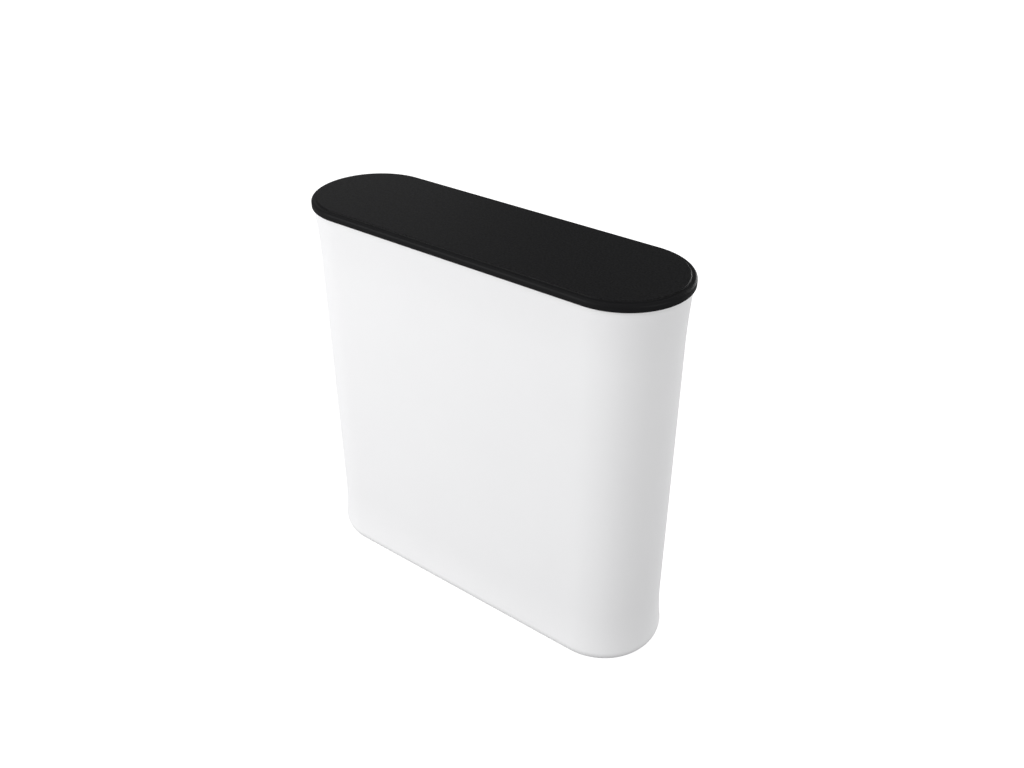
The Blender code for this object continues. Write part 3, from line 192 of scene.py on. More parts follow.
@dataclass(frozen=True)
class Finish:
    """A surface: its colours, its gloss and one fine grain.

    colour and shade are the colours that a slow noise runs between. grain_mm is the real distance between two
    grains, and depth_mm how deep they are. Streaks and ribs run along the axis in along.
    """

    name: str
    colour: str
    shade: str
    roughness: float
    grain: Grain
    grain_mm: float
    depth_mm: float
    along: Axis = Axis.X
    metallic: float = 0.0
    specular: float = 0.5
    sheen: float = 0.0
    coat: float = 0.0
    patch_mm: float = 40.0
    roughness_spread: float = 0.06

    @cache
    def material(self) -> bpy.types.Material:
        """Makes the material, once."""
        made = bpy.data.materials.new(self.name)
        made.use_nodes = True
        made.diffuse_color = linear(self.colour)
        tree = made.node_tree
        place = add(tree, "TexCoord").outputs["Object"]
        spots = self.patches(tree, place, self.patch_mm)
        ends = {"A": linear(self.colour), "B": linear(self.shade)}
        mixed = add(tree, "Mix", {"Factor": spots, **ends}, data_type="RGBA").outputs["Result"]
        gloss = {
            "Value": self.patches(tree, place, self.patch_mm / GLOSS_PATCHES),
            "To Min": self.roughness - self.roughness_spread,
            "To Max": self.roughness + self.roughness_spread,
        }
        height = self.height(tree, place)
        bump = add(tree, "Bump", {"Height": height, "Distance": self.depth_mm * MM, "Strength": 1.0})
        feed(tree, tree.nodes["Principled BSDF"], {
            "Base Color": self.tint(tree, place, mixed), "Normal": bump.outputs["Normal"],
            "Roughness": add(tree, "MapRange", gloss).outputs["Result"], "Metallic": self.metallic,
            "Specular IOR Level": self.specular, "Sheen Weight": self.sheen, "Coat Weight": self.coat,
        })
        return made

    def patches(self, tree: Tree, place: Socket, size_mm: float) -> Socket:
        """A soft noise whose patches are about size_mm apart."""
        node = add(tree, "TexNoise", {"Vector": place, "Scale": 1 / (size_mm * MM), "Detail": 2.0})
        return node.outputs["Fac"]

    def tint(self, tree: Tree, place: Socket, colour: Socket) -> Socket:
        """The surface's colour, which a finish with its own pattern changes."""
        return colour

    def height(self, tree: Tree, place: Socket) -> Socket:
        """Makes the grain.

        Args:
            tree: The material's nodes.
            place: The coordinates, in metres.

        Returns:
            The grain's height, from 0 to 1.
        """
        scale = 1 / (self.grain_mm * MM)
        if self.grain is Grain.RIBS:
            wave = add(
                tree, "TexWave", {"Vector": place, "Scale": scale * WAVE_PITCH, "Distortion": 0.0},
                wave_type="BANDS", bands_direction="Z" if self.along is not Axis.Z else "X",
            )
            return wave.outputs["Fac"]
        stretch = [1.0, 1.0, 1.0]
        if self.grain is Grain.STREAKS:
            stretch[self.along.value] = STREAK_WIDTH
        mapped = add(tree, "Mapping", {"Vector": place, "Scale": stretch}).outputs["Vector"]
        if self.grain is Grain.CELLS:
            cells = add(tree, "TexVoronoi", {"Vector": mapped, "Scale": scale}, feature="SMOOTH_F1")
            return cells.outputs["Distance"]
        return add(tree, "TexNoise", {"Vector": mapped, "Scale": scale, "Detail": 3.0}).outputs["Fac"]


@dataclass(frozen=True)
class GrainedMoulding(Finish):
    """A moulding whose raised middle has a fine grain from the tool, while the rest is smoother.

    grain_from is the height above which the grain shows. The other field sets how far the grain's tops are
    painted lighter and its pits darker, as painted light and shade.
    """

    grain_from: float = 0.0
    painted_grain_shade: float = 0.5

    def raised(self, tree: Tree, place: Socket) -> Socket:
        """1 on the raised middle and 0 round it."""
        z = add(tree, "SeparateXYZ", {"Vector": place}).outputs["Z"]
        return add(tree, "Math", {0: z, 1: self.grain_from}, operation="GREATER_THAN").outputs[0]

    def height(self, tree: Tree, place: Socket) -> Socket:
        """The grain's height, kept to the raised middle."""
        grain = super().height(tree, place)
        return add(tree, "Math", {0: grain, 1: self.raised(tree, place)}, operation="MULTIPLY").outputs[0]

    def tint(self, tree: Tree, place: Socket, colour: Socket) -> Socket:
        """Painted light and shade: the grain's tops painted lighter and its pits darker, standing in for how
        light falls on the grain seen from far off.
        """
        light = {
            "Value": self.patches(tree, place, self.grain_mm), "From Min": NOISE_RANGE[0],
            "From Max": NOISE_RANGE[1], "To Min": 1 - self.painted_grain_shade, "To Max": 1 + self.painted_grain_shade,
        }
        strength = add(tree, "MapRange", light).outputs["Result"]
        # Painted highlight and shade: the colour is scaled up on the grain's tops and down in its pits.
        painted_lit = add(tree, "VectorMath", {0: colour, "Scale": strength}, operation="SCALE").outputs[0]
        ends = {"Factor": self.raised(tree, place), "A": colour, "B": painted_lit}
        return add(tree, "Mix", ends, data_type="RGBA").outputs["Result"]


@dataclass(frozen=True)
class Knit(Finish):
    """A warp knit, whose wales and courses follow the cloth's own UV map in metres.

    course_mm is the distance between two rows of loops, and grain_mm that between two wales.
    """

    course_mm: float = 1.0

    def height(self, tree: Tree, place: Socket) -> Socket:
        """The loops: ridges along the cloth crossed by rows of them."""
        flat = add(tree, "UVMap", uv_map="cloth").outputs["UV"]
        rows = []
        for direction, size_mm in (("X", self.grain_mm), ("Y", self.course_mm)):
            wave = add(
                tree, "TexWave",
                {"Vector": flat, "Scale": WAVE_PITCH / (size_mm * MM), "Distortion": 0.6, "Detail": 1.0},
                wave_type="BANDS", bands_direction=direction,
            )
            rows.append(wave.outputs["Fac"])
        return add(tree, "Math", {0: rows[0], 1: rows[1]}, operation="MULTIPLY").outputs[0]


@dataclass(frozen=True)
class Plywood(Finish):
    """Birch plywood: a grained face, and on the edges darker plies between the light ones.

    ply_mm is the thickness of two plies, and edge_tilt the upright share of a face's direction at which its
    plies start to show and at which they show in full.
    """

    ply_mm: float = 3.0
    ply_shade: str = "8a6440"
    edge_tilt: tuple[float, float] = (0.5, 0.3)

    def tint(self, tree: Tree, place: Socket, colour: Socket) -> Socket:
        """The veneer's colour with its plies and its grain."""
        plies = add(
            tree, "TexWave",
            {"Vector": place, "Scale": WAVE_PITCH / (self.ply_mm * MM), "Distortion": 0.0},
            wave_type="BANDS", bands_direction="Z",
        )
        facing = add(tree, "NewGeometry").outputs["Normal"]
        upright = add(tree, "SeparateXYZ", {"Vector": facing}).outputs["Z"]
        flat = add(tree, "Math", {0: upright}, operation="ABSOLUTE").outputs[0]
        limits = {"From Min": self.edge_tilt[0], "From Max": self.edge_tilt[1]}
        edge = add(tree, "MapRange", {"Value": flat, **limits}).outputs["Result"]
        share = add(tree, "Math", {0: plies.outputs["Fac"], 1: edge}, operation="MULTIPLY").outputs[0]
        ends = {"Factor": share, "A": colour, "B": linear(self.ply_shade)}
        return add(tree, "Mix", ends, data_type="RGBA").outputs["Result"]


# Injection-moulded ABS: deep black, satin, its raised middle spark-eroded to a fine grain. The real grain is
# about 0.4 mm, and it is drawn at 4 mm so that it shows from where the whole counter is seen.
# The grain's tops are painted lighter and its pits darker in its colour, as painted light and shade.
ABS = GrainedMoulding(
    "satin_black_abs", "1b1b1c", "19191a", 0.42, Grain.PITS, 4.0, 0.05, specular=0.06, grain_from=0.9985
)
# Raw medium-density fibreboard: dull brown, with short fibres.
MDF = Finish("mdf_board", "8f7457", "84694d", 0.85, Grain.PITS, 0.6, 0.05, specular=0.3)
# Sanded birch plywood: pale, with long fine grain on its faces and dark plies on its edges.
PLY = Plywood(
    "sanded_birch_ply", "cfb187", "bf9d70", 0.62, Grain.STREAKS, 1.1, 0.05, specular=0.35, patch_mm=25
)
# Hook tape: stiff black nylon with rows of small hooks.
HOOK = Finish("hook_tape", "131313", "1c1c1c", 0.8, Grain.CELLS, 1.3, 0.5, sheen=0.1)
# Loop tape: a soft black brushed pile.
LOOP = Finish("loop_tape_pile", "171718", "222224", 0.95, Grain.PITS, 0.9, 0.4, sheen=0.5)
# Extruded silicone: a milky, slightly greasy bead.
SILICONE = Finish("extruded_silicone", "d8d8d4", "d0d0cb", 0.42, Grain.STREAKS, 0.8, 0.01)
# Polyester and elastane warp knit: a matt, even white that goes faintly grey where it turns away. Its real
# loops are about 0.45 mm apart, and they are drawn at 1.5 mm so that they show from close to.
KNIT = Knit("stretch_knit", "ededee", "ebebec", 0.92, Grain.RIBS, 1.5, 0.03, specular=0.04, patch_mm=160)
# Covered elastic: white, with ribs along it.
ELASTIC = Finish("ribbed_elastic", "e2e2e0", "d8d8d6", 0.9, Grain.RIBS, 0.9, 0.15, specular=0.2)
# Spun polyester thread: white and slightly shiny.
THREAD = Finish("white_thread", "f2f2f2", "e6e6e6", 0.6, Grain.STREAKS, 0.3, 0.02, sheen=0.1)
# Coated polyester film, welded: white and smooth, with soft small wrinkles.
TPU = Finish("white_tpu_film", "e7eaea", "dfe3e4", 0.38, Grain.PITS, 9.0, 0.25)
# Moulded rubber: black, dull and slightly dusty.
RUBBER = Finish("moulded_rubber", "1d1d1d", "262524", 0.78, Grain.PITS, 0.7, 0.04, specular=0.35)
# Woven polyester zip tape: white, with a fine rib across it.
TAPE = Finish("zip_tape_weave", "e6e6e8", "dddde0", 0.8, Grain.RIBS, 0.8, 0.08, specular=0.25)
# Polyester monofilament coil: white and glossy.
COIL = Finish("zip_coil", "efeff0", "e4e4e6", 0.35, Grain.STREAKS, 0.5, 0.01)
# Zinc die casting, nickel plated and tumbled: bright with soft edges.
ZINC = Finish("plated_zinc_casting", "c2c4c7", "adb0b4", 0.3, Grain.PITS, 1.4, 0.02, metallic=1.0, patch_mm=6)
# Moulded nylon: dark grey, with a fine matt skin.
VALVE_NYLON = Finish("moulded_grey_nylon", "3a3c3e", "35373a", 0.48, Grain.PITS, 0.6, 0.02)
# Soft TPU moulding: mid grey, satin.
VALVE_TPU = Finish("moulded_grey_tpu", "5a5d60", "54575a", 0.5, Grain.PITS, 0.8, 0.02)
# Drawn spring wire: bright steel with marks along it.
STEEL = Finish(
    "drawn_spring_steel", "9a9a98", "858583", 0.28, Grain.STREAKS, 0.3, 0.01, metallic=1.0, patch_mm=5
)
# Extruded and anodised aluminium: satin, with faint die lines along it.
EXTRUSION = Finish("anodised_aluminium", "b6b8ba", "a9abae", 0.36, Grain.STREAKS, 0.7, 0.03, metallic=1.0)
# White solder mask on a board: smooth and slightly glossy.
BOARD = Finish("led_board_white", "f0efe8", "e8e7df", 0.4, Grain.PITS, 1.0, 0.01)
# Phosphor over an unlit LED: clear yellow.
PHOSPHOR = Finish("led_phosphor", "e9cf5a", "dfc24c", 0.25, Grain.PITS, 0.5, 0.01)
# Extruded opal polycarbonate: milky and smooth.
OPAL = Finish("milky_polycarbonate", "eef2f4", "e8edf0", 0.3, Grain.STREAKS, 3.0, 0.01, coat=0.15)
# Moulded grey polycarbonate blend with a fine matt skin.
GREY = Finish("grey_polycarbonate_blend", "8c8f92", "868a8d", 0.5, Grain.PITS, 0.6, 0.02)
# Pressed and bead-blasted aluminium: pale grey and matt.
DRIVER = Finish("blasted_aluminium", "a6a8aa", "9c9ea1", 0.46, Grain.PITS, 0.5, 0.04, metallic=1.0)
# PVC-sheathed lead: black, satin, with a skin that is slightly uneven along it.
PVC = Finish("pvc_sheath", "17171a", "1d1d20", 0.45, Grain.STREAKS, 0.8, 0.02)
# Hot-dip galvanised sheet: grey with a spangle of zinc crystals.
GALVANISED = Finish(
    "spangled_galvanised_steel", "a3a7aa", "8f9397", 0.42, Grain.CELLS, 9.0, 0.01, metallic=1.0, patch_mm=7
)
# Moulded glass-filled nylon: black and matt.
INLET = Finish("glass_filled_nylon", "161617", "1a1a1b", 0.5, Grain.PITS, 0.6, 0.02)
# Polished polycarbonate: black and glossy.
SWITCH = Finish("polished_black_polycarbonate", "0e0e0f", "111112", 0.3, Grain.PITS, 2.0, 0.005)
# Nickel-plated brass contact: bright, pale and warm.
CONTACT = Finish(
    "nickel_contact", "cfcabf", "bdb8ad", 0.25, Grain.STREAKS, 0.4, 0.01, metallic=1.0, patch_mm=3
)
# White ink printed on the rocker.
INK = Finish("white_ink", "e8e8e6", "dcdcda", 0.55, Grain.PITS, 0.3, 0.005)

FINISH_OF_SLOT = {
    "moulded_black_abs": ABS, "mdf": MDF, "birch_ply": PLY, "hook_nylon": HOOK, "loop_nylon": LOOP,
    "silicone_bead": SILICONE, "stretch_fabric": KNIT, "white_elastic": ELASTIC, "white_tpu": TPU,
    "foot_rubber": RUBBER, "zip_nylon": TAPE, "zinc_plate": ZINC, "valve_nylon": VALVE_NYLON,
    "valve_tpu": VALVE_TPU, "spring_steel": STEEL, "extruded_aluminium": EXTRUSION, "led_board": BOARD,
    "opal_polycarbonate": OPAL, "grey_plastic": GREY, "driver_aluminium": DRIVER, "lead_pvc": PVC,
    "galvanised_sheet": GALVANISED, "inlet_black": INLET, "switch_black": SWITCH,
}


def finished(
    name: str,
    bm: Shape,
    node: str = "",
    finishes: Sequence[Finish] = (),
    smooth_angle: float = SMOOTH_ANGLE,
    stands_for: bool = True,
    turn_out: bool = True,
) -> Piece:
    """Makes a piece from a bmesh and ties it to the CAD node that it stands for or sits on.

    Args:
        name: The piece's name.
        bm: Its shape, in place. It is freed.
        node: The CAD node that gives its body and slot. Without one, it is the node of its own name.
        finishes: Its finishes, in the order of its material slots. Without any, the node's slot gives one.
        smooth_angle: Edges sharper than this stay sharp.
        stands_for: Whether the piece replaces the node.
        turn_out: Whether its faces are turned outwards.

    Returns:
        The piece.
    """
    if turn_out:
        bmesh.ops.recalc_face_normals(bm, faces=bm.faces)
    mesh = mesh_of(f"{name}_dressed", bm)
    node = node or name
    slot = NODE_SLOT[node]
    for finish in finishes or [FINISH_OF_SLOT[slot]]:
        mesh.materials.append(finish.material())
    mesh.shade_smooth()
    mesh.set_sharp_from_angle(angle=smooth_angle)
    made = placed(f"{name}_dressed", mesh)
    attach(made, NODE_BODY[node])
    if stands_for:
        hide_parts(node)
    return made


def even_shading(made: Piece) -> Piece:
    """Lets a piece's large faces set its shading, so that they look flat beside their rounded edges."""
    modifier = made.modifiers.new("even_shading", "WEIGHTED_NORMAL")
    modifier.keep_sharp = True
    return made


def round_off(bm: Shape, edges: list[bmesh.types.BMEdge], radius: float, segments: int) -> None:
    """Rounds some of a shape's edges, with this many faces round each."""
    bmesh.ops.bevel(
        bm, geom=edges, offset=radius, offset_type="OFFSET", affect="EDGES", segments=segments, profile=0.5,
        material=-1, clamp_overlap=True,
    )


def refined(
    node: str,
    edge: float,
    segments: int = 2,
    finishes: Sequence[Finish] = (),
    painted: Callable[[Vector], bool] | None = None,
) -> Piece:
    """Makes a piece from a copy of a CAD node, with its sharp edges rounded.

    Args:
        node: The CAD node to copy and stand for.
        edge: The radius of the edges. At 0 they stay sharp.
        segments: How many faces go round an edge.
        finishes: Its finishes. The second is for the painted faces.
        painted: Says whether the face with this centre has the second finish.

    Returns:
        The piece.
    """
    bm = bmesh.new()
    bm.from_mesh(frame["nodes"][node].data)
    bmesh.ops.remove_doubles(bm, verts=bm.verts, dist=MERGE)
    bmesh.ops.dissolve_limit(bm, angle_limit=FLAT_ANGLE, verts=bm.verts, edges=bm.edges)
    for face in bm.faces:
        face.material_index = int(painted is not None and painted(face.calc_center_median()))
    if edge:
        sharp = [found for found in bm.edges if found.calc_face_angle(0.0) > SHARP_ANGLE]
        round_off(bm, sharp, edge, segments)
    return even_shading(finished(node, bm, "", finishes, turn_out=False))


def arc(centre: tuple[float, float], radius: float, start: float, end: float, steps: int) -> Points:
    """Points on an arc.

    Args:
        centre: The arc's centre.
        radius: Its radius.
        start: Its first angle, in degrees.
        end: Its last angle, in degrees.
        steps: How many stretches it has.

    Returns:
        The points, first and last ones included.
    """
    angles = [math.radians(start + (end - start) * step / steps) for step in range(steps + 1)]
    return [(centre[0] + radius * math.cos(a), centre[1] + radius * math.sin(a)) for a in angles]


def turned(
    bm: Shape, profile: Points, place: Vector, axis: Axis, steps: int = 48, closed: bool = False
) -> None:
    """Spins a profile into a round body.

    Args:
        bm: The bmesh that takes the body.
        profile: Radius and height along the axis of each point.
        place: The point that the heights are counted from.
        axis: The axis that it turns about, through place.
        steps: How many faces go round.
        closed: Whether the profile's last point joins its first.
    """
    made = bmesh.new()
    verts = [made.verts.new((radius, 0, height)) for radius, height in profile]
    pairs = list(zip(verts, verts[1:])) + ([(verts[-1], verts[0])] if closed else [])
    edges = [made.edges.new(pair) for pair in pairs]
    bmesh.ops.spin(
        made, geom=verts + edges, axis=Axis.Z.vector, cent=(0, 0, 0), angle=2 * math.pi, steps=steps,
        use_merge=True,
    )
    bmesh.ops.remove_doubles(made, verts=made.verts, dist=MERGE)
    made.transform(Matrix.Translation(place) @ LAID_ALONG[axis])
    join_in(bm, made)


def bar(bm: Shape, low: Vector, high: Vector, edge: float, segments: int = 2) -> None:
    """Adds a bar with rounded edges.

    Args:
        bm: The bmesh that takes the bar.
        low: Its lowest corner.
        high: Its highest corner.
        edge: The radius of its edges.
        segments: How many faces go round an edge.
    """
    made = bmesh.new()
    size = Vector(high) - Vector(low)
    bmesh.ops.create_cube(made, size=1)
    bmesh.ops.scale(made, vec=size, verts=made.verts)
    bmesh.ops.translate(made, vec=Vector(low) + size / 2, verts=made.verts)
    round_off(made, made.edges[:], edge, segments)
    join_in(bm, made)


def join_in(bm: Shape, other: Shape) -> None:
    """Adds other's shape to bm, with its faces turned outwards, and frees it."""
    repeat_in(bm, other, [Matrix()])


def repeat_in(bm: Shape, shape: Shape, places: Iterable[Matrix]) -> None:
    """Adds a copy of a shape at each place.

    Args:
        bm: The bmesh that takes the copies.
        shape: The shape, which is freed.
        places: Where each copy goes.
    """
    bmesh.ops.recalc_face_normals(shape, faces=shape.faces)
    carrier = mesh_of("carrier", shape)
    for place in places:
        copy = carrier.copy()
        copy.transform(place)
        bm.from_mesh(copy)
        bpy.data.meshes.remove(copy)
    bpy.data.meshes.remove(carrier)


@dataclass(frozen=True)
class Stadium:
    """The outline that most pieces follow: a rectangle with a half circle at each end.

    straight is half the length of its straight sides, and radius that of its ends.
    """

    straight: float
    radius: float

    @classmethod
    def of(cls, node: str) -> "Stadium":
        """The outline of a node that has this shape."""
        low, high = box(node)
        return cls((high.x - low.x - high.y + low.y) / 2, (high.y - low.y) / 2)

    def carried(
        self, section: Points, arc_steps: int = 64, straight_steps: int = 24, closed: bool = False
    ) -> Shape:
        """Carries a section round the outline.

        Args:
            section: Each point's inset from the outline, and its height.
            arc_steps: How many faces go round an end.
            straight_steps: How many faces go along a straight side.
            closed: Whether the section's last point joins its first.

        Returns:
            The shape. An open section leaves its two rims open.
        """
        bm = bmesh.new()
        verts = [bm.verts.new((self.straight, inset - self.radius, z)) for inset, z in section]
        pairs = list(zip(verts, verts[1:])) + ([(verts[-1], verts[0])] if closed else [])
        geom = verts + [bm.edges.new(pair) for pair in pairs]
        for side in (1, -1):
            centre = (side * self.straight, 0, 0)
            spun = bmesh.ops.spin(bm, geom=geom, cent=centre, axis=(0, 0, 1), angle=math.pi, steps=arc_steps)
            geom = spun["geom_last"]
            step = Vector((-2 * side * self.straight / straight_steps, 0, 0))
            for _ in range(straight_steps):
                edges = [e for e in geom if isinstance(e, bmesh.types.BMEdge)]
                extruded = bmesh.ops.extrude_edge_only(bm, edges=edges)["geom"]
                moved = {v for v in extruded if isinstance(v, bmesh.types.BMVert)}
                bmesh.ops.translate(bm, vec=step, verts=list(moved))
                ahead = {e for v in moved for e in v.link_edges if moved.issuperset(e.verts)}
                geom = [*moved, *ahead]
        bmesh.ops.remove_doubles(bm, verts=bm.verts, dist=MERGE)
        return bm

    def capped(self, section: Points, arc_steps: int = 64) -> Shape:
        """Carries an open section round the outline and closes both its rims with flat faces.

        Args:
            section: Each point's inset from the outline, and its height.
            arc_steps: How many faces go round an end.

        Returns:
            The closed shape, whose flat faces have a narrow border so that they shade flat.
        """
        bm = self.carried(section, arc_steps, straight_steps=1)
        rims = [e for e in bm.edges if e.is_boundary]
        caps = bmesh.ops.holes_fill(bm, edges=rims, sides=0)["faces"]
        for cap in caps:
            bmesh.ops.inset_region(bm, faces=[cap], thickness=0.5 * MM, use_even_offset=False)
        return bm

    def along(self, place: Vector) -> float:
        """The distance round the outline from the front's middle to a place, anticlockwise from above."""
        side = 1 if place.x > 0 else -1
        if abs(place.x) <= self.straight:
            return place.x if place.y < 0 else 2 * self.straight + math.pi * self.radius - place.x
        angle = math.atan2(side * place.y, side * (place.x - side * self.straight)) + math.pi / 2
        start = self.straight if side > 0 else 3 * self.straight + math.pi * self.radius
        return start + angle * self.radius

    @property
    def girth(self) -> float:
        """The outline's whole length."""
        return 4 * self.straight + 2 * math.pi * self.radius

    def at(self, run: float, inset: float) -> tuple[Vector, Vector]:
        """A place on the outline.

        Args:
            run: Its distance round the outline from the front's middle.
            inset: How far inside the outline it lies.

        Returns:
            The place, at height zero, and the direction along the outline there.
        """
        run %= self.girth
        end = math.pi * self.radius
        side = 1 if run < self.straight + end + self.straight else -1
        run -= 0 if side > 0 else 2 * self.straight + end
        reach = self.radius - inset
        if run < self.straight:
            return Vector((side * run, -side * reach, 0)), Vector((side, 0, 0))
        if run < self.straight + end:
            angle = (run - self.straight) / self.radius - math.pi / 2
            out = Vector((math.cos(angle), math.sin(angle), 0))
            place = Vector((self.straight, 0, 0)) + reach * out
            return side * place, side * Vector((-out.y, out.x, 0))
        rest = run - self.straight - end
        return Vector((side * (self.straight - rest), side * reach, 0)), Vector((-side, 0, 0))


# The outline of the countertop, which the insets of all pieces that go round it are counted from.
OUTLINE = Stadium.of("countertop_shell")


def band_section(node: str, width: float, edge: float) -> Points:
    """The section of a band that goes round the outline.

    Args:
        node: The band's CAD node, which gives its outer side and its height.
        width: Its width.
        edge: The size of the slants on its edges.

    Returns:
        Its points.
    """
    low, high = box(node)
    inset = OUTLINE.radius - high.y
    across = (inset, inset + edge, inset + width - edge, inset + width)
    return [
        (across[1], low.z), (across[2], low.z), (across[3], low.z + edge), (across[3], high.z - edge),
        (across[2], high.z), (across[1], high.z), (across[0], high.z - edge), (across[0], low.z + edge),
    ]


@dataclass
class Countertop:
    """The loose top: a moulded shell over a routed board, with hook strips under it."""

    outline: Stadium = OUTLINE
    wall: float = 3.0 * MM
    step: float = 3.0 * MM
    step_inset: float = 12.5 * MM
    step_fillet: float = 2.5 * MM
    step_root: float = 1.0 * MM
    rim_radius: float = 7.0 * MM
    rim_chamfer: float = 1.0 * MM
    board_edge: float = 0.6 * MM
    gap: float = 0.3 * MM

    def build(self) -> list[Piece]:
        """Makes the top's pieces."""
        strips = [refined(node, edge=0.25 * MM) for node in ("hook_strip_front", "hook_strip_rear")]
        return [self.shell(), self.core(), *strips]

    def shell(self) -> Piece:
        """The shell: rim, rounded edge, shelf and raised middle, hollow underneath."""
        low, high = box("countertop_shell")
        shelf = high.z - self.step
        foot = (self.step_inset - self.step_root, shelf + self.step_root)
        crest = (self.step_inset + self.step_fillet, high.z - self.step_fillet)
        inner = self.step_inset + self.step_fillet + self.wall
        section = [
            (inner, high.z - self.wall), (inner, shelf - self.wall), (self.wall, shelf - self.wall),
            (self.wall, low.z), (self.rim_chamfer, low.z), (0.0, low.z + self.rim_chamfer),
            *arc((self.rim_radius, shelf - self.rim_radius), self.rim_radius, 180, 90, steps=10),
            *arc(foot, self.step_root, 270, 360, steps=4),
            *arc(crest, self.step_fillet, 180, 90, steps=8),
        ]
        return even_shading(finished("countertop_shell", self.outline.capped(section, arc_steps=96)))

    def core(self) -> Piece:
        """The board in the shell, routed down round its edge."""
        low, high = box("countertop_core")
        side = self.wall + self.gap
        raised = self.step_inset + self.step_fillet + self.wall + self.gap
        shoulder = box("countertop_shell")[1].z - self.step - self.wall - self.gap
        edge = self.board_edge
        section = [
            (side + edge, low.z), (side, low.z + edge), (side, shoulder - edge), (side + edge, shoulder),
            (raised, shoulder), (raised, high.z),
        ]
        return finished("countertop_core", self.outline.capped(section))


@dataclass
class Carcass:
    """The two boards, the loop strips on the upper one, the bead in its groove, and the feet.

    dish_shares are the shares of a foot's sole at which its dish starts to rise and at which it ends.
    """

    outline: Stadium = OUTLINE
    groove_width: float = 4.0 * MM
    groove_depth: float = 7.6 * MM
    gap: float = 0.3 * MM
    edge: float = 1.5 * MM
    small_edge: float = 0.5 * MM
    foot_edge: float = 1.2 * MM
    foot_dish: float = 1.0 * MM
    foot_draft: float = 2.0 * MM
    dish_shares: tuple[float, float] = (0.6, 0.66)

    def build(self) -> list[Piece]:
        """Makes the boards and what is fixed to them."""
        strips = [refined(node, edge=0.3 * MM) for node in ("loop_strip_front", "loop_strip_rear")]
        corners = ("front_left", "front_right", "rear_right", "rear_left")
        feet = [self.foot(f"foot_{corner}") for corner in corners]
        return [self.top_board(), self.bead(), self.base_board(), *strips, *feet]

    def top_board(self) -> Piece:
        """The board under the top, with the groove that takes the cover's bead."""
        low, high = box("top_board")
        inset = self.outline.radius - high.y
        groove = self.outline.radius - box("keder_bead")[1].y - self.gap
        floor = high.z - self.groove_depth
        soft = self.small_edge
        section = [
            (inset + soft, low.z), (inset, low.z + soft), (inset, high.z - self.edge),
            (inset + self.edge, high.z), (groove - soft, high.z), (groove, high.z - soft), (groove, floor),
            (groove + self.groove_width, floor), (groove + self.groove_width, high.z - soft),
            (groove + self.groove_width + soft, high.z),
        ]
        return finished("top_board", self.outline.capped(section))

    def bead(self) -> Piece:
        """The flat silicone bead that is sewn to the cover's top hem."""
        section = band_section("keder_bead", self.groove_width - 2 * self.gap, self.small_edge)
        return finished("keder_bead", self.outline.carried(section, straight_steps=4, closed=True))

    def base_board(self) -> Piece:
        """The board inside the lower ring."""
        low, high = box("base_board")
        inset = self.outline.radius - high.y
        soft = self.small_edge
        section = [
            (inset + soft, low.z), (inset, low.z + soft), (inset, high.z - soft), (inset + soft, high.z),
        ]
        return finished("base_board", self.outline.capped(section))

    def foot(self, node: str) -> Piece:
        """A rubber foot: slightly tapered, dished underneath and rounded at its edge."""
        low, high = box(node)
        middle = (low + high) / 2
        radius = (high.x - low.x) / 2
        sole = radius - self.foot_draft
        tall = high.z - low.z
        flat, rise = self.dish_shares
        profile = [
            (0.0, self.foot_dish), (sole * flat, self.foot_dish), (sole * rise, 0.0),
            *arc((sole - self.foot_edge, self.foot_edge), self.foot_edge, 270, 360, steps=5),
            (radius, tall), (0.0, tall),
        ]
        bm = bmesh.new()
        turned(bm, profile, Vector((middle.x, middle.y, low.z)), Axis.Z)
        return finished(node, bm)


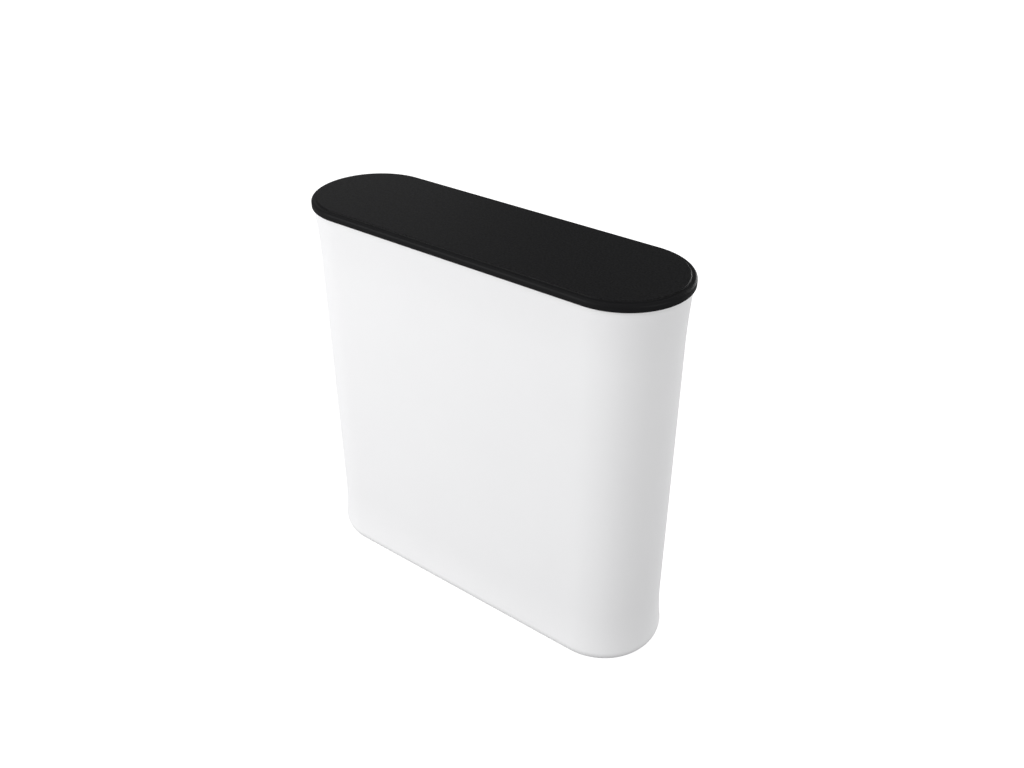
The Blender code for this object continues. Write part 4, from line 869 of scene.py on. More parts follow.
@dataclass
class AirFrame:
    """The inflated frame: two rings of welded film and the eight columns between them."""

    outline: Stadium = OUTLINE
    seam_height: float = 0.8 * MM
    seam_width: float = 3.0 * MM
    cad_sides: int = 12
    ring_sides: int = 40
    column_sides: int = 48
    column_rows: int = 24
    weld_flare: float = 1.6 * MM
    weld_length: float = 12.0 * MM
    gap: float = 0.3 * MM

    def build(self) -> list[Piece]:
        """Makes the rings and the columns."""
        columns = [self.column(node) for node in frame["nodes"] if node.startswith("column_")]
        return [self.ring("upper_ring"), self.ring("lower_ring"), *columns]

    def tube(self, node: str) -> tuple[float, float, float]:
        """A ring's inset to its centre line, the centre line's height and the tube's radius."""
        low, high = box(node)
        radius = (high.z - low.z) / 2
        # The CAD ring is flat above and below and has its corners at its sides.
        corner = radius / math.cos(math.pi / self.cad_sides)
        return self.outline.radius - high.y + corner, (low.z + high.z) / 2, radius

    def ring(self, node: str) -> Piece:
        """A ring: a round tube with a flat weld seam along its inner side."""
        inset, z, radius = self.tube(node)
        half = math.degrees(self.seam_height / radius / 2)
        section = arc((inset, z), radius, half, 360 - half, self.ring_sides)
        reach = radius + self.seam_width
        section += [(inset + reach, z - self.seam_height / 2), (inset + reach, z + self.seam_height / 2)]
        return finished(node, self.outline.carried(section, arc_steps=48, straight_steps=12, closed=True))

    def column(self, node: str) -> Piece:
        """A column: an upright tube that flares into its welds and is cut to sit on the rings."""
        low, high = box(node)
        middle = (low + high) / 2
        radius = (high.x - low.x) / 2
        ends = {False: self.tube("lower_ring"), True: self.tube("upper_ring")}
        heights = (ends[False][1], ends[True][1])
        bm = bmesh.new()
        bmesh.ops.create_cone(
            bm, cap_ends=False, segments=self.column_sides, radius1=radius, radius2=radius, depth=1.0
        )
        upright = [e for e in bm.edges if abs(e.verts[0].co.z - e.verts[1].co.z) > MERGE]
        bmesh.ops.subdivide_edges(bm, edges=upright, cuts=self.column_rows, use_grid_fill=True)
        outward = Vector((middle.x, 0, 0)) if abs(middle.y) < MM else Vector((0, middle.y, 0))
        outward.normalize()
        for vert in bm.verts:
            share = vert.co.z + 0.5
            flat = Vector((vert.co.x, vert.co.y, 0))
            seats = []
            for is_upper, way in ((False, 1), (True, -1)):
                ring_z, ring_radius = ends[is_upper][1:]
                across = min(abs(flat.dot(outward)), ring_radius)
                seats.append(ring_z + way * (math.sqrt(ring_radius**2 - across**2) + self.gap))
            z = seats[0] + (seats[1] - seats[0]) * share
            near = min(z - heights[0] - ends[False][2], heights[1] - ends[True][2] - z)
            flare = self.weld_flare * max(0.0, 1 - max(near, 0.0) / self.weld_length) ** 2
            grown = flat * (1 + flare / radius)
            vert.co = Vector((middle.x + grown.x, middle.y + grown.y, z))
        rims = [e for e in bm.edges if e.is_boundary]
        bmesh.ops.holes_fill(bm, edges=rims, sides=0)
        return finished(node, bm, smooth_angle=SEAT_ANGLE)


@dataclass
class Cover:
    """The knitted sleeve: its cloth, the stitching in it and the elastic in its lower hem."""

    outline: Stadium = OUTLINE
    shoulder_inset: float = 6.9 * MM
    shoulder_radius: float = 3.0 * MM
    waist_inset: float = 11.2 * MM
    bulge_inset: float = 3.9 * MM
    upper_flare: float = 105.0 * MM
    lower_flare: float = 115.0 * MM
    upper_power: float = 1.6
    lower_power: float = 2.0
    shoulder_drop: float = 23.9 * MM
    roll_radius: float = 31.8 * MM
    top_hem: float = 16.0 * MM
    bottom_hem: float = 17.8 * MM
    board_overlap: float = 1.8 * MM
    cloth: float = 0.6 * MM
    flat_size: tuple[float, float] = (2.30, 1.06)
    slit_margin: float = 10.0 * MM
    slit_width: float = 7.0 * MM
    bezel_overlap: float = 5.0 * MM
    valve_margin: float = 2.0 * MM
    shoulder_rows: int = 6
    upper_rows: int = 16
    waist_rows: int = 60
    lower_rows: int = 20
    roll_rows: int = 18
    hem_rows: int = 3
    opening_sides: int = 64
    stitch_length: float = 2.6 * MM
    stitch_pitch: float = 3.6 * MM
    stitch_radius: float = 0.28 * MM
    hem_stitch_inset: float = 4.0 * MM
    hem_stitch_spread: float = 1.3
    tape_face: float = 0.9 * MM
    tape_stitch_insets: tuple[float, ...] = (1.6 * MM, 4.6 * MM)
    elastic_width: float = 6.0 * MM
    elastic_edge: float = 0.3 * MM
    elastic_ripple: float = 0.35 * MM
    elastic_ripple_pitch: float = 9.0 * MM

    def build(self) -> list[Piece]:
        """Makes the cloth and what is sewn to it."""
        stitching = self.stitching()
        elastic = self.elastic()
        cloth = self.sleeve()
        return [cloth, stitching, elastic]

    @property
    def top_z(self) -> float:
        """The height of the cloth's upper side on the top board."""
        return box("fabric_cover")[1].z

    def inset(self, z: float) -> float:
        """How far the cloth lies inside the top's outline at a height, from its bulge to its shoulder."""
        shoulder = self.top_z - self.shoulder_drop
        below = max(0.0, 1 - (shoulder - z) / self.upper_flare) if z < shoulder else 1.0
        above = max(0.0, 1 - (z - self.roll_radius) / self.lower_flare)
        upper = (self.waist_inset - self.shoulder_inset) * below**self.upper_power
        lower = (self.waist_inset - self.bulge_inset) * above**self.lower_power
        return self.waist_inset - upper - lower

    def section(self) -> Points:
        """The cloth's outer side, from the end of its top hem to the end of its bottom hem."""
        top = self.top_z
        shoulder = top - self.shoulder_drop
        hem_end = self.shoulder_inset + self.board_overlap + self.top_hem
        corner = (self.shoulder_inset + self.shoulder_radius, top - self.shoulder_radius)
        points = [(hem_end, top), ((hem_end + corner[0]) / 2, top)]
        points += arc(corner, self.shoulder_radius, 90, 180, self.shoulder_rows)
        waist_high = shoulder - self.upper_flare
        waist_low = self.roll_radius + self.lower_flare
        levels = (shoulder, waist_high, waist_low, self.roll_radius)
        rows = (self.upper_rows, self.waist_rows, self.lower_rows)
        for start, stop, count in zip(levels, levels[1:], rows):
            heights = [start + (stop - start) * i / count for i in range(count)]
            points += [(self.inset(z), z) for z in heights]
        roll = (self.bulge_inset + self.roll_radius, self.roll_radius)
        points += arc(roll, self.roll_radius, 180, 270, self.roll_rows)
        points += [(roll[0] + self.bottom_hem * (i + 1) / self.hem_rows, 0.0) for i in range(self.hem_rows)]
        return points

    def sleeve(self) -> Piece:
        """The cloth, with the openings cut in it for the zip, the inlet and the valve."""
        section = self.section()
        bm = self.outline.carried(section, arc_steps=56, straight_steps=40)
        right, up = Axis.X.vector, Axis.Z.vector
        for low, high in (self.zip_opening(), self.inlet_opening()):
            self.cut_out(bm, [(low, -right), (low, -up), (high, right), (high, up)])
        low, high = box("valve_saddle")
        radius = (high.x - low.x) / 2 + self.valve_margin
        round_it = [2 * math.pi * i / self.opening_sides for i in range(self.opening_sides)]
        ways = [Vector((math.cos(angle), 0, math.sin(angle))) for angle in round_it]
        self.cut_out(bm, [((low + high) / 2 + way * radius, way) for way in ways])
        bmesh.ops.recalc_face_normals(bm, faces=bm.faces)
        self.turn_outwards(bm)
        self.lay_flat(bm, section)
        made = finished("fabric_cover", bm, turn_out=False)
        solid = made.modifiers.new("cloth_thickness", "SOLIDIFY")
        solid.thickness = self.cloth
        solid.offset = -1.0
        solid.use_even_offset = True
        return made

    def turn_outwards(self, bm: Shape) -> None:
        """Turns all faces round if the front's face inwards."""
        front = min(bm.faces, key=lambda f: f.calc_center_median().y)
        if front.normal.y > 0:
            bmesh.ops.reverse_faces(bm, faces=bm.faces)

    def lay_flat(self, bm: Shape, section: Points) -> None:
        """Gives the cloth its UV map: the distance round it and the distance down it, in metres.

        Args:
            bm: The cloth.
            section: The points that it was carried from.
        """
        runs = [0.0]
        for before, after in zip(section, section[1:]):
            runs.append(runs[-1] + math.dist(before, after))
        flat = bm.loops.layers.uv.new("cloth")
        girth = self.outline.girth
        across = {vert: self.outline.along(vert.co) % girth for vert in bm.verts}
        down = {vert: self.down(vert.co, section, runs) for vert in bm.verts}
        for face in bm.faces:
            middle = self.outline.along(face.calc_center_median()) % girth
            for loop in face.loops:
                run = across[loop.vert]
                turns = round((run - middle) / girth)
                loop[flat].uv = (run - turns * girth, down[loop.vert])

    def down(self, place: Vector, section: Points, runs: list[float]) -> float:
        """The distance down the cloth to a place on it.

        Args:
            place: The place.
            section: The points that the cloth was carried from.
            runs: The distance down the cloth to each of them.

        Returns:
            The distance, in metres.
        """
        past = max(0.0, abs(place.x) - self.outline.straight)
        here = (self.outline.radius - math.hypot(past, place.y), place.z)
        nearest = min(range(len(section)), key=lambda i: math.dist(section[i], here))
        return runs[nearest]

    def zip_opening(self) -> tuple[Vector, Vector]:
        """The slit behind the zip's coil, as two corners."""
        low, high = box("zip_tape")
        half = self.slit_width / 2
        return Vector((-half, 0, low.z + self.slit_margin)), Vector((half, 0, high.z - self.slit_margin))

    def inlet_opening(self) -> tuple[Vector, Vector]:
        """The opening behind the inlet's bezel, as two corners."""
        low, high = box("inlet_bezel")
        margin = Vector((self.bezel_overlap, 0, self.bezel_overlap))
        return low + margin, high - margin

    def cut_out(self, bm: Shape, planes: list[tuple[Vector, Vector]]) -> None:
        """Cuts an opening in the rear.

        Args:
            bm: The cloth.
            planes: The planes round the opening, each as a point on it and its outward direction.
        """
        xs = [place.x for place, _ in planes]
        zs = [place.z for place, _ in planes]
        faces = [
            face
            for face in bm.faces
            if face.verts[0].co.y > 0
            and min(v.co.x for v in face.verts) < max(xs)
            and max(v.co.x for v in face.verts) > min(xs)
            and min(v.co.z for v in face.verts) < max(zs)
            and max(v.co.z for v in face.verts) > min(zs)
        ]
        geom = [*faces, *{e for f in faces for e in f.edges}, *{v for f in faces for v in f.verts}]
        for place, normal in planes:
            geom = bmesh.ops.bisect_plane(bm, geom=geom, dist=MERGE, plane_co=place, plane_no=normal)["geom"]
        inside = []
        for face in (item for item in geom if isinstance(item, bmesh.types.BMFace)):
            middle = face.calc_center_median()
            if all((middle - place).dot(normal) < 0 for place, normal in planes):
                inside.append(face)
        bmesh.ops.delete(bm, geom=inside, context="FACES")

    def stitch_place(self, place: Vector, way: Vector, out: Vector) -> Matrix:
        """Where one stitch lies.

        Args:
            place: Its middle.
            way: The direction that it runs in.
            out: The direction that its cloth faces.

        Returns:
            The matrix that lays a unit stitch, which runs along X, there.
        """
        turn = Matrix((way, out.cross(way), out)).transposed().to_4x4()
        size = Matrix.Diagonal((self.stitch_length / 2, self.stitch_radius, self.stitch_radius, 1))
        return Matrix.Translation(place) @ turn @ size

    def stitching(self) -> Piece:
        """The rows of stitches: along the zip's tape and round both hems."""
        low, high = box("zip_tape")
        face = low.y + self.tape_face
        places = []
        count = int((high.z - low.z) / self.stitch_pitch)
        for side in (-1, 1):
            for inset in self.tape_stitch_insets:
                for i in range(count):
                    place = Vector((side * (high.x - inset), face, low.z + self.stitch_pitch * (i + 0.5)))
                    places.append(self.stitch_place(place, Axis.Z.vector, Axis.Y.vector))
        hem_end = self.shoulder_inset + self.board_overlap + self.top_hem
        roll_end = self.bulge_inset + self.roll_radius + self.bottom_hem
        rows = (
            (hem_end - self.hem_stitch_inset, self.top_z, 1),
            (roll_end - 2 * self.hem_stitch_inset, self.stitch_radius / 2, -1),
        )
        for inset, z, way in rows:
            count = int(self.outline.girth / self.stitch_pitch / self.hem_stitch_spread)
            for i in range(count):
                place, along = self.outline.at(self.outline.girth * i / count, inset)
                places.append(self.stitch_place(place + Vector((0, 0, z)), along, Vector((0, 0, way))))
        stitch = bmesh.new()
        laid = LAID_ALONG[Axis.X]
        bmesh.ops.create_uvsphere(stitch, u_segments=6, v_segments=4, radius=1.0, matrix=laid)
        bm = bmesh.new()
        repeat_in(bm, stitch, places)
        return finished("cover_stitching", bm, "fabric_cover", [THREAD], stands_for=False, turn_out=False)

    def elastic(self) -> Piece:
        """The elastic in the lower hem, drawn in so that it ripples."""
        section = band_section("hem_elastic", self.elastic_width, self.elastic_edge)
        bm = self.outline.carried(section, straight_steps=120, closed=True)
        for vert in bm.verts:
            wave = math.sin(2 * math.pi * self.outline.along(vert.co) / self.elastic_ripple_pitch)
            vert.co.z += self.elastic_ripple * (wave + 1) / 2
        return finished("hem_elastic", bm)


@dataclass
class RearZip:
    """The zip in the rear: its woven tape, its coil, its stops, its slider and its pull."""

    tape_thickness: float = 0.8 * MM
    tape_gap: float = 0.5 * MM
    tooth_pitch: float = 1.5 * MM
    tooth_radius: float = 0.38 * MM
    tooth_half: float = 1.4375 * MM
    tooth_offset: float = 23 / 24 * MM
    edge: float = 0.3 * MM

    def build(self) -> list[Piece]:
        """Makes the zip's pieces."""
        metal = [refined(node, self.edge) for node in ("zip_slider", "zip_top_stop", "zip_bottom_stop")]
        return [self.tape(), *metal, refined("zip_pull", self.edge)]

    def tape(self) -> Piece:
        """The two tapes, and on them the coil's loops, which reach over from each side in turn."""
        low, high = box("zip_tape")
        bm = bmesh.new()
        half_gap = self.tape_gap / 2
        face = low.y + self.tape_thickness
        for x_low, x_high in ((low.x, -half_gap), (half_gap, high.x)):
            bar(bm, Vector((x_low, low.y, low.z)), Vector((x_high, face, high.z)), self.edge)
        woven = len(bm.faces)
        count = int((high.z - low.z) / self.tooth_pitch) - 1
        middle = face + (high.y - face) / 2
        size = (self.tooth_half, (high.y - face) / 2, self.tooth_radius, 1)
        places = []
        for i in range(2 * count):
            side = 1 if i % 2 else -1
            z = low.z + self.tooth_pitch * (i + 1.5) / 2
            place = Vector((side * self.tooth_offset, middle, z))
            places.append(Matrix.Translation(place) @ Matrix.Diagonal(size))
        tooth = bmesh.new()
        laid = LAID_ALONG[Axis.X]
        bmesh.ops.create_uvsphere(tooth, u_segments=8, v_segments=6, radius=1.0, matrix=laid)
        repeat_in(bm, tooth, places)
        for facet in list(bm.faces)[woven:]:
            facet.material_index = 1
        return finished("zip_tape", bm, "", [TAPE, COIL], turn_out=False)


@dataclass
class Valve:
    """The inflation valve: body with its web, sprung plunger and hinged cap, on its welded patch.

    button_dish is a share of the button's radius, and tab_root one of the cap's.
    """

    bore: float = 11.0 * MM
    barrel: float = 14.0 * MM
    flange_thickness: float = 1.5 * MM
    edge: float = 0.5 * MM
    ear_width: float = 3.0 * MM
    tab_width: float = 8.0 * MM
    knuckle: float = 1.0 * MM
    hub_radius: float = 5.0 * MM
    web: float = 3.0 * MM
    web_depth: float = 18.4 * MM
    stem: float = 2.0 * MM
    button: float = 4.5 * MM
    button_thickness: float = 1.5 * MM
    button_dish: float = 0.7
    disc_thickness: float = 2.0 * MM
    cap_radius: float = 14.5 * MM
    cap_thickness: float = 2.0 * MM
    tab_root: float = 0.9
    plug_radius: float = 10.5 * MM
    plug_length: float = 2.5 * MM
    gap: float = 0.3 * MM
    spring_radius: float = 3.5 * MM
    spring_wire: float = 0.4 * MM
    spring_turns: int = 3
    steps_a_turn: int = 24
    spring_kept: float = 0.36
    round_steps: int = 64
    small_steps: int = 32

    def build(self) -> list[Piece]:
        """Makes the valve's pieces."""
        saddle = refined("valve_saddle", edge=0.4 * MM)
        return [saddle, self.body(), self.plunger(), self.spring(), self.cap()]

    @property
    def centre(self) -> Vector:
        """A point on the valve's axis, at height zero along Y."""
        low, high = box("valve_plunger")
        return Vector(((low.x + high.x) / 2, 0, (low.z + high.z) / 2))

    @property
    def face(self) -> float:
        """The place along Y of the flange's face."""
        return box("valve_cap")[0].y + self.plug_length - self.gap

    @property
    def hinge(self) -> tuple[float, float]:
        """The place along Y and the height of the cap's hinge line."""
        high = box("valve_cap")[1]
        return self.face + self.gap + self.knuckle, high.z - self.knuckle

    def body(self) -> Piece:
        """The flange with its bead, the barrel, the web and the ears of the hinge."""
        low, high = box("valve_body")
        flange = (high.x - low.x) / 2
        end = self.face - low.y
        back = end - self.flange_thickness
        soft = self.edge
        profile = [
            (self.bore, 0.0), (self.barrel - soft, 0.0), (self.barrel, soft), (self.barrel, back),
            (flange - soft, back), (flange, back + soft),
            *arc((flange - 2 * soft, end - 2 * soft), 2 * soft, 0, 90, steps=4),
            (self.barrel + 4 * soft, end), (self.barrel + 3 * soft, end - soft),
            (self.barrel + 2 * soft, end - soft),
            (self.barrel + soft, end), (self.bore + soft, end), (self.bore, end - soft),
        ]
        bm = bmesh.new()
        centre = self.centre
        turned(bm, profile, centre + Vector((0, low.y, 0)), Axis.Y, self.round_steps, closed=True)
        hub_low = self.face - self.web_depth - self.web
        stem_hole = self.stem + self.gap
        hub = [(stem_hole, 0.0), (self.hub_radius, 0.0), (self.hub_radius, self.web), (stem_hole, self.web)]
        turned(bm, hub, centre + Vector((0, hub_low, 0)), Axis.Y, self.small_steps, closed=True)
        right, up = Axis.X.vector, Axis.Z.vector
        for way in (right, -right, up, -up):
            start = centre + way * (self.hub_radius - soft) + Vector((0, hub_low + self.gap, 0))
            stop = centre + way * (self.bore + soft) + Vector((0, hub_low + self.web - self.gap, 0))
            side = Vector((way.z, 0, way.x)) * self.web / 2
            corners = [start - side, start + side, stop - side, stop + side]
            lowest = Vector([min(c[i] for c in corners) for i in range(3)])
            highest = Vector([max(c[i] for c in corners) for i in range(3)])
            bar(bm, lowest, highest, self.gap)
        hinge_y, hinge_z = self.hinge
        for side in (-1, 1):
            x = centre.x + side * (self.tab_width / 2 + self.gap + self.ear_width / 2)
            half = Vector((self.ear_width / 2, 0, self.knuckle))
            low_corner = Vector((x, self.face - self.flange_thickness / 2, hinge_z)) - half
            bar(bm, low_corner, Vector((x, hinge_y + self.knuckle, hinge_z)) + half, self.gap)
        return even_shading(finished("valve_body", bm))

    def plunger(self) -> Piece:
        """The plunger: sealing disc, stem and a dished button."""
        low, high = box("valve_plunger")
        disc = (high.x - low.x) / 2
        tall = high.y - low.y
        soft = self.edge
        lip = tall - self.button_thickness
        profile = [
            (0.0, 0.0), (disc - soft, 0.0), (disc, soft), (disc, self.disc_thickness - soft),
            (disc - soft, self.disc_thickness), (self.stem, self.disc_thickness), (self.stem, lip),
            (self.button, lip), *arc((self.button - soft, tall - soft), soft, 0, 90, steps=3),
            (self.button * self.button_dish, tall - soft), (0.0, tall - 2 * soft),
        ]
        bm = bmesh.new()
        turned(bm, profile, self.centre + Vector((0, low.y, 0)), Axis.Y)
        return finished("valve_plunger", bm)

    def spring(self) -> Piece:
        """The coil spring round the stem, as a round wire."""
        low, high = box("valve_spring")
        bm = bmesh.new()
        steps = self.steps_a_turn * self.spring_turns
        radius = self.spring_wire
        start = low.y + radius
        rise = (high.y - radius - start) / steps
        ring = bmesh.ops.create_circle(bm, segments=10, radius=radius)["verts"]
        place = self.centre + Vector((self.spring_radius, start, 0))
        bmesh.ops.transform(bm, matrix=Matrix.Translation(place), verts=ring)
        edges = list({e for v in ring for e in v.link_edges})
        bmesh.ops.spin(
            bm, geom=ring + edges, cent=self.centre, axis=(0, -1, 0), dvec=(0, rise, 0),
            angle=2 * math.pi * self.spring_turns, steps=steps,
        )
        bmesh.ops.holes_fill(bm, edges=[e for e in bm.edges if e.is_boundary], sides=0)
        made = finished("valve_spring", bm)
        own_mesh(made)
        return made

    def cap(self) -> Piece:
        """The cap: a disc with a rim and a plug, a hinge tab at its top and a lip to lift it by."""
        soft = self.edge
        centre = self.centre
        back = self.face + self.gap
        thick = self.cap_thickness
        profile = [
            (0.0, -self.plug_length), (self.plug_radius - soft, -self.plug_length),
            (self.plug_radius, soft - self.plug_length), (self.plug_radius, 0.0),
            (self.cap_radius - soft, 0.0), (self.cap_radius, soft),
            *arc((self.cap_radius - soft, thick - soft), soft, 0, 90, steps=3),
            (self.cap_radius - 4 * soft, thick), (self.cap_radius - 5 * soft, thick - soft),
            (0.0, thick - soft),
        ]
        bm = bmesh.new()
        turned(bm, profile, centre + Vector((0, back, 0)), Axis.Y, self.round_steps)
        hinge_y, hinge_z = self.hinge
        half = self.tab_width / 2
        low = Vector((centre.x - half, back + self.gap, centre.z + self.cap_radius * self.tab_root))
        bar(bm, low, Vector((centre.x + half, back + thick - self.gap, hinge_z)), self.gap)
        knuckle = [(0.0, 0.0), (self.knuckle, 0.0), (self.knuckle, self.tab_width), (0.0, self.tab_width)]
        turned(bm, knuckle, Vector((centre.x - half, hinge_y, hinge_z)), Axis.X, steps=24)
        return even_shading(finished("valve_cap", bm))


@dataclass
class Lighting:
    """The two light bars, the driver that feeds them and the leads between."""

    edge: float = 0.4 * MM
    led_rise: float = 0.2 * MM

    def build(self) -> list[Piece]:
        """Makes the light and its leads."""
        made = []
        for side in ("left", "right"):
            made.append(refined(f"led_channel_{side}", self.edge / 2))
            made.append(self.board(f"led_board_{side}"))
            made.append(refined(f"led_lens_{side}", self.edge))
            made += [refined(f"led_end_cap_{side}_{end}", 2 * self.edge, 3) for end in ("inner", "outer")]
            made.append(refined(f"led_lead_{side}", 0.0))
        made.append(refined("driver_case", 2 * self.edge, 3))
        made.append(refined("driver_lid", self.edge, 3))
        made.append(refined("mains_lead", 0.0))
        return made

    def board(self, node: str) -> Piece:
        """A board whose LEDs have their phosphor on top."""
        top = box(node)[1].z - self.led_rise
        return refined(node, self.led_rise / 2, 1, [BOARD, PHOSPHOR], lambda middle: middle.z > top)


@dataclass
class PowerInlet:
    """The mains inlet: bracket, bezel, socket with its blades, switch and screws."""

    edge: float = 0.5 * MM
    fine_edge: float = 0.25 * MM
    recess_floor: float = 17.0 * MM
    recess_wall: float = 2.0 * MM
    screw_radius: float = 1.5 * MM
    head_radius: float = 2.8 * MM
    head_height: float = 1.5 * MM
    head_outline: tuple[tuple[float, float], ...] = ((1.0, 0.0), (1.0, 0.4), (0.85, 0.8), (0.5, 1.0))
    slot_width: float = 0.7 * MM
    slot_depth: float = 0.8 * MM
    slot_reach: float = 1.54 * MM
    slot_edge: float = 0.0875 * MM
    round_steps: int = 32
    pivot_depth: float = 0.7 * MM
    mark_radius: float = 1.5 * MM
    mark_width: float = 0.25 * MM
    mark_rise: float = 0.04 * MM
    rocker_crest: float = 3.6 * MM
    rocker_valley: float = 2.2 * MM
    rocker_reach: float = 8.4 * MM
    rocker_tilt: float = math.radians(12)

    def build(self) -> list[Piece]:
        """Makes the inlet's pieces."""
        made = [refined("inlet_bracket", self.edge), refined("inlet_bezel", self.edge, 3), self.socket()]
        made += [refined("switch_body", self.fine_edge), refined("switch_rocker", self.fine_edge, 3)]
        made += [self.screw(f"bezel_screw_{side}", Axis.Y) for side in ("left", "right")]
        made += [self.screw(f"bracket_screw_{side}", Axis.Z) for side in ("left", "right")]
        return [*made, self.marks()]

    def socket(self) -> Piece:
        """The socket, whose blades are plated metal."""
        low, high = box("inlet_socket")
        margin = Vector((self.recess_wall * 2, 0, self.recess_wall * 2))

        def is_blade(middle: Vector) -> bool:
            """Whether a face with this centre belongs to a blade."""
            across = low.x + margin.x < middle.x < high.x - margin.x
            upright = low.z + margin.z < middle.z < high.z - margin.z
            return across and upright and -self.recess_floor < middle.y - high.y - self.edge < -2 * self.edge

        return refined("inlet_socket", self.fine_edge, 2, [INLET, CONTACT], is_blade)

    def screw(self, node: str, axis: Axis) -> Piece:
        """A pan-head screw with a cross recess. Its head's outline is in shares of its radius and height."""
        low, high = box(node)
        middle = (low + high) / 2
        tip = Vector(middle)
        tip[axis.value] = low[axis.value]
        long = high[axis.value] - low[axis.value]
        head = long - self.head_height
        profile = [
            (0.0, 0.0), (self.screw_radius, self.screw_radius / 2), (self.screw_radius, head),
            *((self.head_radius * out, head + self.head_height * up) for out, up in self.head_outline),
            (0.0, long),
        ]
        bm = bmesh.new()
        turned(bm, profile, tip, axis, self.round_steps)
        made = finished(node, bm)
        top = Vector(middle)
        top[axis.value] = high[axis.value]
        for across in [other for other in Axis if other is not axis]:
            half = Vector([self.slot_width / 2] * 3)
            half[across.value] = self.slot_reach
            half[axis.value] = self.slot_depth
            cutter = bmesh.new()
            bar(cutter, top - half, top + half, self.slot_edge, 1)
            carve(made, cutter)
        return made

    def marks(self) -> Piece:
        """The line and the ring on the rocker that say on and off."""
        low, high = box("switch_rocker")
        body_low, body_high = box("switch_body")
        upright = (body_low.z + body_high.z) / 2
        pivot = Vector(((low.x + high.x) / 2, body_high.y - self.pivot_depth, upright))
        slope = math.atan2(self.rocker_crest - self.rocker_valley, self.rocker_reach)
        bm = bmesh.new()
        half = Vector((self.mark_radius, self.mark_rise, self.mark_width))
        bar(bm, -half, half, self.mark_rise, 1)
        self.place_mark(bm, 1, slope)
        ring = bmesh.new()
        inner = self.mark_radius - 2 * self.mark_width
        profile = [
            (inner, -self.mark_rise), (self.mark_radius, -self.mark_rise),
            (self.mark_radius, self.mark_rise), (inner, self.mark_rise),
        ]
        turned(ring, profile, Vector(), Axis.Y, self.round_steps, closed=True)
        self.place_mark(ring, -1, slope)
        join_in(bm, ring)
        tilt = Matrix.Rotation(-self.rocker_tilt, 4, "X")
        bm.transform(Matrix.Translation(pivot) @ tilt)
        return finished("switch_marks", bm, "switch_rocker", [INK], stands_for=False)

    def place_mark(self, bm: Shape, side: int, slope: float) -> None:
        """Lays a mark on the middle of one of the rocker's two faces. side is 1 for the upper one."""
        middle = (self.rocker_crest + self.rocker_valley) / 2
        turn = Matrix.Rotation(-side * slope, 4, "X")
        bm.transform(Matrix.Translation((0, middle, side * self.rocker_reach / 2)) @ turn)


def carve(made: Piece, cutter: Shape) -> None:
    """Cuts a shape out of a piece for good.

    Args:
        made: The piece.
        cutter: The shape to cut out, in place. It is freed.
    """
    tool = placed("cutter", mesh_of("cutter", cutter))
    modifier = made.modifiers.new("cut", "BOOLEAN")
    modifier.object = tool
    modifier.operation = "DIFFERENCE"
    modifier.solver = "EXACT"
    cut = made.evaluated_get(bpy.context.evaluated_depsgraph_get())
    made.data = bpy.data.meshes.new_from_object(cut)
    made.modifiers.remove(modifier)
    bpy.data.objects.remove(tool)


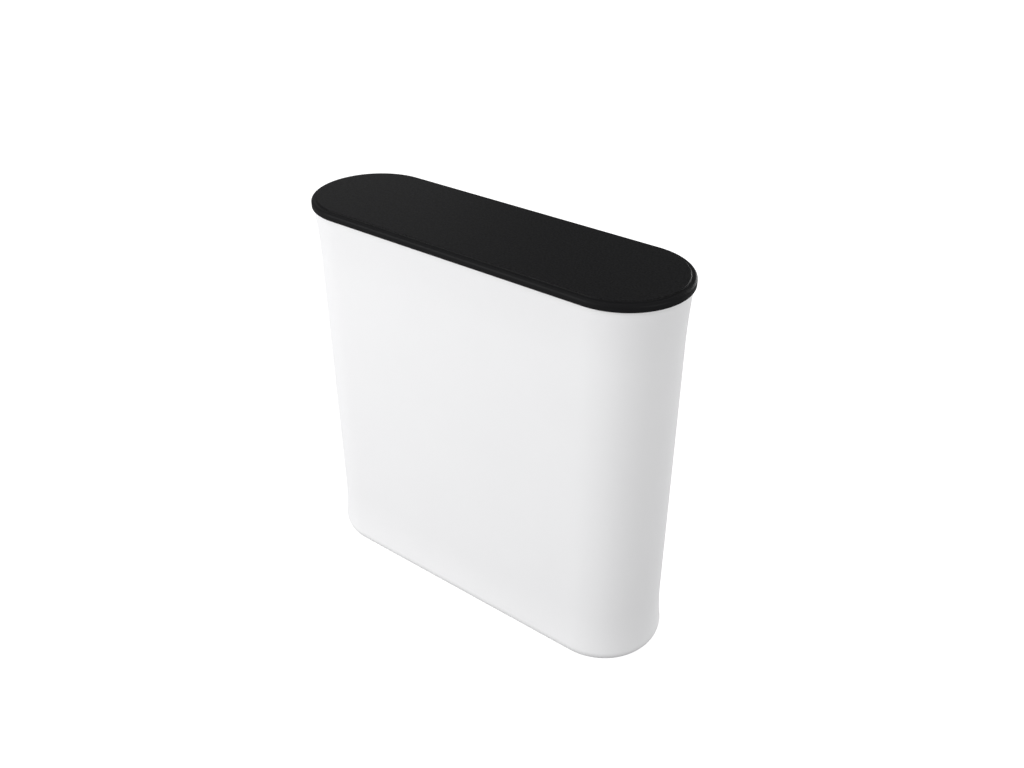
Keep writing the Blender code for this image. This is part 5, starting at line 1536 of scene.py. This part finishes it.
@dataclass
class Studio:
    """A plain pale floor, soft light and the camera at the photograph's view."""

    camera_place: tuple[float, float, float] = (1.3044, -1.6413, 1.9032)
    lens_mm: float = 35.32
    sensor_mm: float = 36.0
    pitch: float = math.radians(32.103)
    azimuth: float = math.radians(37.077)
    floor_size: float = 60.0
    floor_glow: float = 0.96
    floor_white: float = 0.3
    sky_seen: float = 1.0
    sky_light: float = 0.6
    sky_gloss: float = 0.2
    lamp_aim: tuple[float, float, float] = (0.0, 0.0, 0.5)
    lamps: tuple[tuple[str, tuple[float, float, float], float, float], ...] = (
        ("key", (-3.2, -4.2, 2.6), 3.0, 136.0), ("front_low", (-1.5, -4.5, 0.8), 2.0, 60.0),
        ("right", (4.8, -0.6, 2.0), 3.0, 70.0), ("top", (-0.8, 0.0, 4.5), 3.0, 16.0),
        ("rear", (0.8, 4.8, 1.2), 2.2, 85.0), ("rear_left", (-4.5, 3.2, 2.8), 3.0, 7.0),
    )

    def build(self) -> None:
        """Makes the camera, the floor, the sky and the lamps."""
        self.camera()
        self.floor()
        self.sky()
        for lamp in self.lamps:
            self.lamp(*lamp)

    def camera(self) -> None:
        """The camera, at the place and with the lens that the photograph's outlines fit."""
        data = bpy.data.cameras.new("camera")
        data.lens = self.lens_mm
        data.sensor_width = self.sensor_mm
        flat = math.cos(self.pitch)
        across, ahead = -math.sin(self.azimuth) * flat, math.cos(self.azimuth) * flat
        forward = Vector((across, ahead, -math.sin(self.pitch)))
        bpy.context.scene.camera = self.aimed("camera", data, self.camera_place, forward)

    def aimed(self, name: str, data: bpy.types.ID, place: Sequence[float], way: Vector) -> Piece:
        """A camera or a lamp at a place, looking along a direction."""
        made = placed(name, data)
        made.location = place
        made.rotation_euler = way.to_track_quat("-Z", "Y").to_euler()
        return made

    def floor(self) -> None:
        """A pale floor that glows to the eye alone, so that the counter hardly shades it."""
        bm = bmesh.new()
        bmesh.ops.create_grid(bm, x_segments=1, y_segments=1, size=self.floor_size / 2)
        finish = bpy.data.materials.new("pale_floor")
        finish.use_nodes = True
        tree = finish.node_tree
        seen = add(tree, "LightPath").outputs["Is Camera Ray"]
        glow = add(tree, "MapRange", {"Value": seen, "To Min": 0.0, "To Max": self.floor_glow})
        feed(tree, tree.nodes["Principled BSDF"], {
            "Base Color": (self.floor_white,) * 3 + (1.0,), "Roughness": 1.0, "Specular IOR Level": 0.0,
            "Emission Color": WHITE, "Emission Strength": glow.outputs["Result"],
        })
        made = placed("floor", mesh_of("floor", bm))
        made.data.materials.append(finish)

    def sky(self) -> None:
        """White behind the counter, and a softer light all round it."""
        world = bpy.data.worlds.new("studio")
        world.use_nodes = True
        tree = world.node_tree
        tree.nodes.clear()
        path = add(tree, "LightPath").outputs
        glossy = {"Value": path["Is Glossy Ray"], "To Min": self.sky_light, "To Max": self.sky_gloss}
        light = add(tree, "MapRange", glossy).outputs["Result"]
        seen = {"Value": path["Is Camera Ray"], "To Min": light, "To Max": self.sky_seen}
        strength = add(tree, "MapRange", seen).outputs["Result"]
        shown = add(tree, "Background", {"Color": WHITE, "Strength": strength})
        add(tree, "OutputWorld", {"Surface": shown.outputs["Background"]})
        bpy.context.scene.world = world
        bpy.context.scene.view_settings.view_transform = "Standard"

    def lamp(self, name: str, place: Sequence[float], size: float, watts: float) -> None:
        """Adds a square soft lamp that faces the counter.

        Args:
            name: The lamp's name.
            place: Where it stands.
            size: The length of its sides.
            watts: Its power.
        """
        data = bpy.data.lights.new(name, "AREA")
        data.size = size
        data.energy = watts
        self.aimed(name, data, place, Vector(self.lamp_aim) - Vector(place))


def main() -> None:
    """Builds the studio and every sub-assembly in order."""
    logging.basicConfig(level=logging.INFO, format="%(message)s")
    Studio().build()
    for assembly in (Countertop, Carcass, AirFrame, Cover, RearZip, Valve, Lighting, PowerInlet):
        LOG.info("Building %s", assembly.__name__)
        assembly().build()


if __name__ == "__main__":
    main()
